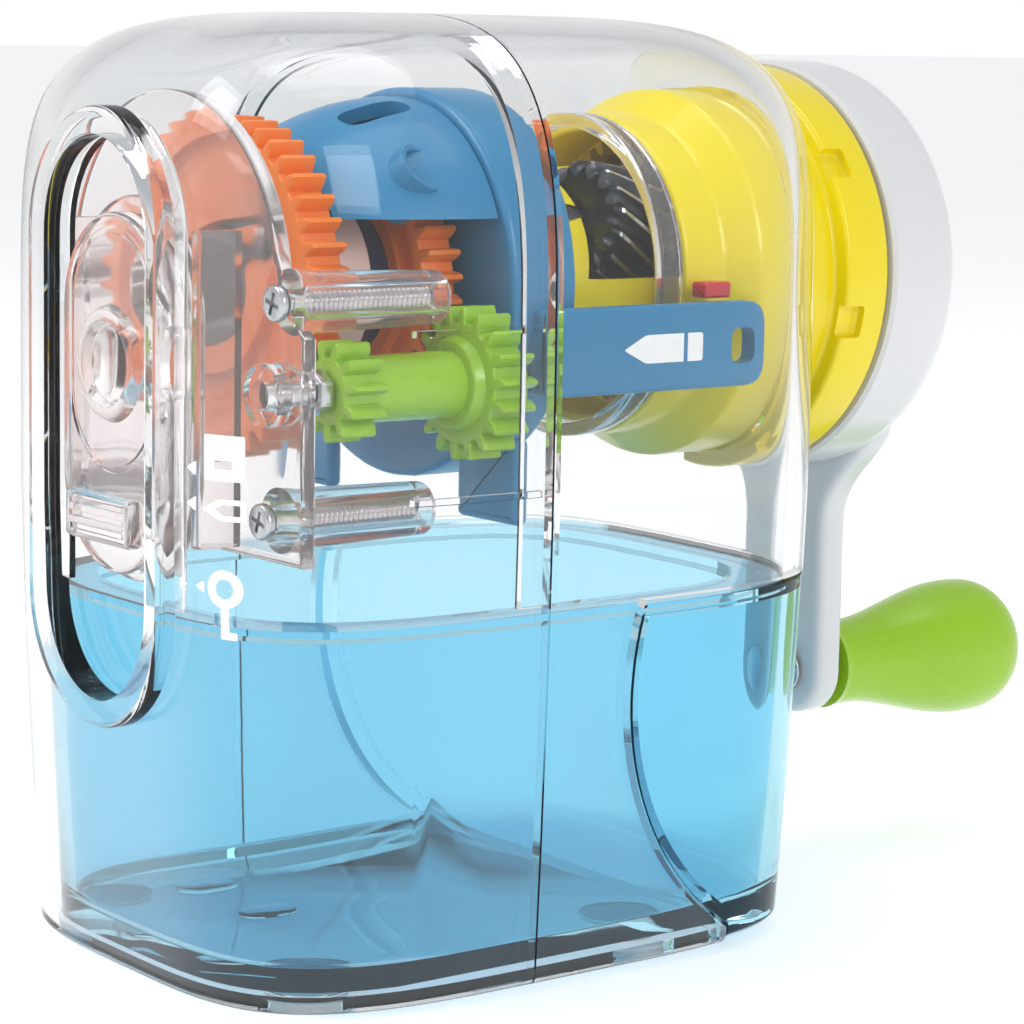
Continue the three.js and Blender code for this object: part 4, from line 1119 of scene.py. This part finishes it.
# ---- crank and knob ----
def crank():
    """The white crank with its cap, its screw and the steel shaft behind it.

    The cup's shoulder is a quarter turn of sine and cosine, each raised to 0.85. The arm's half width adds
    a raised cosine, to the power 1.6, from its own width out to the flare under the cup.
    """
    box = Place("crank")
    disc = box.x1
    y0, y1 = box.y0, box.y1
    wall = 2.4
    turn = np.linspace(0, math.pi / 2, 14)
    shoulder = 8.5
    out = disc - shoulder + shoulder * np.sin(turn) ** 0.85
    back = y1 - 6.5 * (1 - np.cos(turn) ** 0.85)
    outside = np.stack([out, back], 1)
    inside = outside[::-1] - [wall, wall]
    profile = np.vstack([[[0, y1]], outside, [[disc, y0 + 0.5], [disc - 0.5, y0], [disc - wall + 0.4, y0]],
                         [[disc - wall, y0 + 0.4]], inside, [[0, y1 - wall]]])
    cup = lathe(profile, steps=192)
    half, foot = 6.5, box.z0
    low = foot + half
    drop = np.linspace(0, 1, 24)
    flare = AXIS_Z - disc + 7 - drop * 17
    width = half + 9.0 * (0.5 + 0.5 * np.cos(drop * math.pi)) ** 1.6
    angle = np.linspace(0, math.pi, 28)
    right = np.stack([width, flare], 1)
    arc = np.stack([half * np.cos(angle), low - half * np.sin(angle)], 1)
    root = width[0] - 3
    left = (right * [-1, 1])[::-1]
    outline = np.vstack([[[root, AXIS_Z - 8]], right, arc, left, [[-root, AXIS_Z - 8]]])
    arm = plate(outline, y1 - 5.5, y1 - 0.4, 1.5, 6)
    boss = rod(12, y1 - 5.5, y1 - 0.5, edge=0.5)
    piece = join(cup, arm, boss)
    knob_point, _ = joint_place("knob_spin")
    piece = cut(
        piece,
        rod(1.7, y0, y1 + 2, steps=32),
        rod(6.4, y1 - 1.2, y1 + 2, steps=64),
        rod(3.2, y1 - 3.1, y1, steps=48),
        rod(2.5, y1 - 8, y1 + 1, 0, knob_point[2], steps=48),
    )
    finished(piece, "white_crank", "crank", "white", ["crank"])
    cap = Place("crank_cap")
    y = cap.y0
    corners = [[0, y], [cap.r, y], [cap.r, y + 1.4], [cap.r - 2.1, y + 2.0], [0, y + 2.2]]
    profile = rounded(corners, 0.5, closed=False)
    finished(lathe(profile), "white_crank_cap", "crank", "white", ["crank_cap"])
    screw = Place("crank_screw")
    piece = threaded(1.4, 2.9, 1.4, -screw.y1, -screw.y0, 0, AXIS_Z)
    mirror = Matrix.Scale(-1, 4, (0, 1, 0))
    finished(moved(piece, mirror), "steel_crank_screw", "crank", "steel", ["crank_screw"])
    shaft = Place("crank_shaft")
    piece = cut(rod(shaft.r, shaft.y0, shaft.y1, edge=0.4), rod(1.7, shaft.y1 - 9, shaft.y1 + 1, steps=32))
    finished(piece, "steel_crank_shaft", "crank", "steel", ["crank_shaft"])


def knob():
    """A pear-shaped grip and the pin that it turns on.

    The radius grows by a smooth step, three squares less two cubes, and closes in a superellipse. A narrow
    bell curve adds a small lip at the start.
    """
    box = Place("knob")
    length = box.y1 - box.y0
    along = np.linspace(0, 1, 90)
    neck = 6.15
    swell = np.clip((along - 0.12) / 0.62, 0, 1)
    radius = neck + (box.r - neck) * swell ** 2 * (3 - 2 * swell)
    end = np.clip((along - 0.76) / 0.24, 0, 1)
    radius *= superellipse(end, 2.6)
    radius += 0.25 * np.exp(-(along / 0.02) ** 2)
    outer = np.stack([radius, box.y0 + along * length], 1)
    outer[-1, 0] = 0
    bore, bore_end = 2.5, box.y1 - 5
    profile = np.vstack([outer[::-1], [[bore, box.y0], [bore, bore_end], [0, bore_end]]])
    piece = lathe(profile, 0, box.z, 128)
    finished(piece, "lime_knob", "knob", "lime", ["knob"])
    pin = Place("knob_pin")
    y = pin.y0
    head, shank = 3.4, 2.2
    corners = [[0, y], [head, y], [head, y + 0.7], [shank, y + 0.7], [shank, pin.y1], [0, pin.y1]]
    piece = lathe(rounded(corners, 0.3, closed=False), 0, pin.z, 64)
    finished(piece, "steel_knob_pin", "crank", "steel", ["knob_pin"])


# ---- printed marks ----
def pencil_outline(x, z, length, width):
    """A plain pencil, lying level, with its point to the left."""
    half = width / 2
    shoulder, end = x + width, x + length
    return [[x, z], [shoulder, z - half], [end, z - half], [end, z + half], [shoulder, z + half]]


def triangle_outline(x, z, across):
    """A triangle pointing to the right, or to the left where its width is negative."""
    return [[x, z - abs(across) * 0.6], [x + across, z], [x, z + abs(across) * 0.6]]


def printed(outlines, holes, name):
    """Ink on the front shell: flat outlines carried along Y, kept where they meet a thin skin on the body."""
    skin = cut(body_form(-0.14, 20, 118), body_form(-0.02, 19, 119))
    stamp = [plate(rounded(outline, 0.25), FRONT_Y - 1, FRONT_Y + 14, 0.0) for outline in outlines]
    stamp = join(*stamp) if len(stamp) > 1 else stamp[0]
    for hole in holes:
        stamp = cut(stamp, plate(np.asarray(hole), FRONT_Y - 2, FRONT_Y + 15, 0.0))
    finished(meet(skin, stamp), name, "housing", "ink")


def printed_marks():
    """Plain signs beside the gate, and a pencil sign on the blue arm. None of them is lettering."""
    left, gate_foot = 18.4, GATE_Z - body_sizes().gate_bottom
    upper = gate_foot + 15.5
    printed([triangle_outline(left + 1.6, upper, -1.5), triangle_outline(left + 1.6, upper - 4.2, -1.5)], [],
            "printed_gate_arrows")
    tray = oblong(left + 3.0, left + 8.2, upper - 1.2, upper + 4.2)
    slot = oblong(left + 4.4, left + 6.8, upper + 0.2, upper + 1.2)
    printed([tray], [slot], "printed_drawer_sign")
    body = pencil_outline(left + 2.6, upper - 4.6, 5.8, 2.6)
    printed([body], [pencil_outline(left + 4.4, upper - 4.6, 3.4, 1.3)], "printed_pencil_sign")
    low = gate_foot - 0.5
    printed([triangle_outline(left - 1.2, low + 2.0, 1.3), triangle_outline(left + 2.8, low + 2.0, -1.3)], [],
            "printed_latch_arrows")
    bar = oblong(left + 5.2, left + 6.2, low - 4.0, low + 1.0)
    foot = oblong(left + 5.2, left + 7.2, low - 4.0, low - 3.1)
    printed([circle(2.3, left + 5.7, low + 2.0, 32), bar, foot], [circle(1.2, left + 5.7, low + 2.0, 32)],
            "printed_lock_sign")
    arm = Place("mech_frame")
    face, middle = arm.x1, AXIS_Z - 7.5
    sign = pencil_outline(arm.y1 - 24, middle, 13, 3.6)
    groove = oblong(arm.y1 - 14.2, arm.y1 - 13.5, middle - 3, middle + 3)
    mark = moved(plate(rounded(sign, 0.4), face - 0.05, face + 0.1, 0.0), SWAP_XY)
    mark = cut(mark, moved(plate(np.asarray(groove), face - 1, face + 1, 0.0), SWAP_XY))
    finished(mark, "printed_arm_pencil", "housing", "ink")


# ---- stage ----
def surround(scene):
    """White to the camera and a little greyer to the object, darker still overhead."""
    world = scene.world or bpy.data.worlds.new("surround")
    scene.world = world
    world.use_nodes = True
    tree = world.node_tree
    tree.nodes.clear()
    ramp = tree.nodes.new("ShaderNodeValToRGB")
    stops = ramp.color_ramp.elements
    stops[0].position, stops[0].color = 0.45, (0.82, 0.83, 0.84, 1)
    stops[1].position, stops[1].color = 0.56, (0.88, 0.88, 0.88, 1)
    stops.new(0.82).color = (0.50, 0.51, 0.53, 1)
    place = tree.nodes.new("ShaderNodeTexCoord")
    split = tree.nodes.new("ShaderNodeSeparateXYZ")
    height = tree.nodes.new("ShaderNodeMath")
    height.operation = "MULTIPLY_ADD"
    height.inputs[1].default_value, height.inputs[2].default_value = 0.5, 0.5
    path = tree.nodes.new("ShaderNodeLightPath")
    seen = tree.nodes.new("ShaderNodeMix")
    seen.data_type = "RGBA"
    seen.inputs[7].default_value = (1, 1, 1, 1)
    back = tree.nodes.new("ShaderNodeBackground")
    out = tree.nodes.new("ShaderNodeOutputWorld")
    for source, target in (
        (place.outputs["Generated"], split.inputs[0]), (split.outputs[2], height.inputs[0]),
        (height.outputs[0], ramp.inputs[0]), (ramp.outputs[0], seen.inputs[6]),
        (path.outputs["Is Camera Ray"], seen.inputs["Factor"]), (seen.outputs[2], back.inputs[0]),
        (back.outputs[0], out.inputs[0]),
    ):
        tree.links.new(source, target)


def soft_light(scene, name, place, width, power):
    """A square area light that faces the mechanism."""
    light = bpy.data.lights.new(name, "AREA")
    light.size, light.energy = width, power
    lamp = bpy.data.objects.new(name, light)
    lamp.location = place
    target = Vector((0, MIDDLE_Y * MM, AXIS_Z * MM * 0.7))
    lamp.rotation_euler = (target - Vector(place)).to_track_quat("-Z", "Y").to_euler()
    scene.collection.objects.link(lamp)


def stage():
    """A pale floor, a white surround, soft lights and the camera."""
    scene = bpy.context.scene
    s = scene.sharpener_stage
    reach, drop = 40, -0.0004
    corners = [[x, y, drop] for x, y in oblong(-reach, reach, -reach, reach)]
    floor = solid(corners, [[0, 1, 2, 3]])
    floor.name = "studio_floor"
    paper = Finish("pale_floor")
    grain = paper.noise(6.0, 2.0)
    paper.set(Base_Color=paper.mix(grain, (0.79, 0.79, 0.79, 1), (0.82, 0.82, 0.82, 1)), Roughness=0.95)
    paper.set(Emission_Color=(1, 1, 1, 1), Emission_Strength=s.floor_glow)
    floor.data.materials.append(paper.material)
    surround(scene)
    soft_light(scene, "key", (-0.35, -0.75, 0.75), 0.5, s.key_light)
    soft_light(scene, "side", (0.85, -0.1, 0.45), 0.35, s.side_light)
    soft_light(scene, "top", (0.0, 0.1, 0.95), 0.6, s.top_light)
    camera = bpy.data.cameras.new("camera")
    camera.lens, camera.sensor_width = s.lens, 36.0
    camera.shift_x, camera.shift_y = s.shift_x, s.shift_y
    camera.clip_start, camera.clip_end = 0.01, 100.0
    away = Vector((math.sin(s.azimuth) * math.cos(s.elevation), -math.cos(s.azimuth) * math.cos(s.elevation),
                   math.sin(s.elevation)))
    eye = bpy.data.objects.new("camera", camera)
    place = Vector((0, MIDDLE_Y * MM, s.aim_height * MM)) + away * s.distance * MM
    level = (-away).to_track_quat("-Z", "Y").to_matrix().to_4x4()
    eye.matrix_world = Matrix.Translation(place) @ level @ Matrix.Rotation(s.roll, 4, "Z")
    scene.collection.objects.link(eye)
    scene.camera = eye
    scene.view_settings.view_transform = "Standard"


# ---- places read from the frame, and what follows from them ----
FRONT, REAR = Place("front_shell"), Place("rear_shell")
GATE, GEARBOX = Place("pencil_gate"), Place("gearbox_plate")
RING, SHAFT = Place("ring_housing"), Place("transfer_shaft")
SCREW_NAMES = [f"gearbox_screw_{spot}" for spot in ("top_right", "top_left", "low_right", "low_left")]
SCREWS = [Place(name) for name in SCREW_NAMES]
FOOT_NAMES = [f"foot_{spot}" for spot in ("front_left", "front_right", "rear_left", "rear_right")]
FEET = [Place(name) for name in FOOT_NAMES]
FRONT_Y = FRONT.y0 + RIM_PROUD
BACK_Y = REAR.y1
MIDDLE_Y = (FRONT_Y + BACK_Y) / 2
HALF_DEPTH = (BACK_Y - FRONT_Y) / 2
HALF_WIDTH = REAR.x1
# The shell's form ends a little above the faceted solid's highest point.
DOME_ALLOWANCE = 0.1
TOP = REAR.z1 + DOME_ALLOWANCE
# At rest the gate's hole is this far below the pencil's line, and the gate slides up by as much.
GATE_TRAVEL = 9.0
GATE_Z = AXIS_Z - GATE_TRAVEL
GATE_BACK_Y = GATE.y1
SHAFT_PROUD, TOE_GAP, FLOOR_GAP = 0.4, 0.3, 0.5
PLATE_Y = SHAFT.y0 + SHAFT_PROUD
RIM_Z = Place("drawer").z1
TOE_Y = Place("base_plate").y1 + TOE_GAP
FLOOR_Z = Place("base_plate").z1 + FLOOR_GAP


# ---- operators, panel and registration ----
class SHARPENER_OT_front_shell(bpy.types.Operator):
    """Builds the clear front shell with its raised rim."""
    bl_idname = "sharpener.front_shell"
    bl_label = "Front shell"

    def execute(self, context):
        front_shell()
        return {"FINISHED"}


class SHARPENER_OT_rear_shell(bpy.types.Operator):
    """Builds the clear rear shell with its lip and the opening for the drawer."""
    bl_idname = "sharpener.rear_shell"
    bl_label = "Rear shell"

    def execute(self, context):
        rear_shell()
        return {"FINISHED"}


class SHARPENER_OT_base(bpy.types.Operator):
    """Builds the clear base plate and its four feet."""
    bl_idname = "sharpener.base"
    bl_label = "Base and feet"

    def execute(self, context):
        base_plate()
        feet()
        return {"FINISHED"}


class SHARPENER_OT_drawer(bpy.types.Operator):
    """Builds the clear blue shavings drawer."""
    bl_idname = "sharpener.drawer"
    bl_label = "Drawer"

    def execute(self, context):
        drawer()
        return {"FINISHED"}


class SHARPENER_OT_gate(bpy.types.Operator):
    """Builds the sliding gate with its pencil funnel."""
    bl_idname = "sharpener.gate"
    bl_label = "Pencil gate"

    def execute(self, context):
        pencil_gate()
        return {"FINISHED"}


class SHARPENER_OT_gearbox(bpy.types.Operator):
    """Builds the cloudy plate with its screw posts and gate rails."""
    bl_idname = "sharpener.gearbox"
    bl_label = "Gearbox plate"

    def execute(self, context):
        gearbox_plate()
        return {"FINISHED"}


class SHARPENER_OT_fasteners(bpy.types.Operator):
    """Builds the screws, the nut and the transfer shaft."""
    bl_idname = "sharpener.fasteners"
    bl_label = "Gearbox fasteners"

    def execute(self, context):
        gearbox_screws()
        return {"FINISHED"}


class SHARPENER_OT_gears(bpy.types.Operator):
    """Builds the two orange gears and the lime transfer gear."""
    bl_idname = "sharpener.gears"
    bl_label = "Feed gears"

    def execute(self, context):
        feed_gears()
        return {"FINISHED"}


class SHARPENER_OT_chuck(bpy.types.Operator):
    """Builds the chuck sleeve, its jaws and the hollow spindle."""
    bl_idname = "sharpener.chuck"
    bl_label = "Chuck and spindle"

    def execute(self, context):
        chuck_and_spindle()
        return {"FINISHED"}


class SHARPENER_OT_frame(bpy.types.Operator):
    """Builds the drum with its two slotted arms."""
    bl_idname = "sharpener.frame"
    bl_label = "Blue frame"

    def execute(self, context):
        mech_frame()
        return {"FINISHED"}


class SHARPENER_OT_hood(bpy.types.Operator):
    """Builds the hood over the front gear, and the release tab."""
    bl_idname = "sharpener.hood"
    bl_label = "Gear hood"

    def execute(self, context):
        frame_hood()
        return {"FINISHED"}


class SHARPENER_OT_cutter(bpy.types.Operator):
    """Builds the helical blade, its gear and its axle."""
    bl_idname = "sharpener.cutter"
    bl_label = "Cutter"

    def execute(self, context):
        helical_cutter()
        return {"FINISHED"}


class SHARPENER_OT_carrier(bpy.types.Operator):
    """Builds the drum that carries the cutter round the pencil."""
    bl_idname = "sharpener.carrier"
    bl_label = "Carrier"

    def execute(self, context):
        carrier()
        return {"FINISHED"}


class SHARPENER_OT_housing(bpy.types.Operator):
    """Builds the ring housing, the chamber ring and the rear bush."""
    bl_idname = "sharpener.housing"
    bl_label = "Ring housing"

    def execute(self, context):
        ring_housing()
        return {"FINISHED"}


class SHARPENER_OT_crank(bpy.types.Operator):
    """Builds the crank, its cap, screw and shaft."""
    bl_idname = "sharpener.crank"
    bl_label = "Crank"

    def execute(self, context):
        crank()
        return {"FINISHED"}


class SHARPENER_OT_knob(bpy.types.Operator):
    """Builds the knob and its pin."""
    bl_idname = "sharpener.knob"
    bl_label = "Knob"

    def execute(self, context):
        knob()
        return {"FINISHED"}


class SHARPENER_OT_marks(bpy.types.Operator):
    """Builds the plain printed signs."""
    bl_idname = "sharpener.marks"
    bl_label = "Printed marks"

    def execute(self, context):
        printed_marks()
        return {"FINISHED"}


class SHARPENER_OT_stage(bpy.types.Operator):
    """Makes the floor, the surround, the lights and the camera."""
    bl_idname = "sharpener.stage"
    bl_label = "Stage"

    def execute(self, context):
        stage()
        return {"FINISHED"}


class SHARPENER_PT_panel(bpy.types.Panel):
    """Lists the sizes, the colours and one button for each group of pieces."""
    bl_idname = "SHARPENER_PT_panel"
    bl_label = "Crank Pencil Sharpener"
    bl_space_type = "VIEW_3D"
    bl_region_type = "UI"
    bl_category = "Sharpener"

    def draw(self, context):
        for title, group in SETTINGS.items():
            box = self.layout.box()
            settings = getattr(context.scene, title)
            box.label(text=group.bl_rna.name)
            for name in group.__annotations__:
                box.prop(settings, name)
        for operator in OPERATORS:
            self.layout.operator(operator.bl_idname)


SETTINGS = {
    "sharpener_body": BodySizes, "sharpener_gears": MechanismSizes,
    "sharpener_finishes": Finishes, "sharpener_stage": StageSettings,
}
OPERATORS = [
    SHARPENER_OT_front_shell,
    SHARPENER_OT_rear_shell,
    SHARPENER_OT_base,
    SHARPENER_OT_drawer,
    SHARPENER_OT_gate,
    SHARPENER_OT_gearbox,
    SHARPENER_OT_fasteners,
    SHARPENER_OT_gears,
    SHARPENER_OT_chuck,
    SHARPENER_OT_frame,
    SHARPENER_OT_hood,
    SHARPENER_OT_cutter,
    SHARPENER_OT_carrier,
    SHARPENER_OT_housing,
    SHARPENER_OT_crank,
    SHARPENER_OT_knob,
    SHARPENER_OT_marks,
    SHARPENER_OT_stage,
]


def register():
    """Adds the settings, the operators and the panel."""
    for group in (*SETTINGS.values(), *OPERATORS, SHARPENER_PT_panel):
        bpy.utils.register_class(group)
    for name, group in SETTINGS.items():
        setattr(bpy.types.Scene, name, PointerProperty(type=group))


def unregister():
    """Takes away what register added, last first."""
    for name in SETTINGS:
        delattr(bpy.types.Scene, name)
    for group in reversed((*SETTINGS.values(), *OPERATORS, SHARPENER_PT_panel)):
        bpy.utils.unregister_class(group)


def main():
    """Builds every piece and the stage."""
    register()
    for operator in OPERATORS:
        group, name = operator.bl_idname.split(".")
        getattr(getattr(bpy.ops, group), name)()


if __name__ == "__main__":
    main()
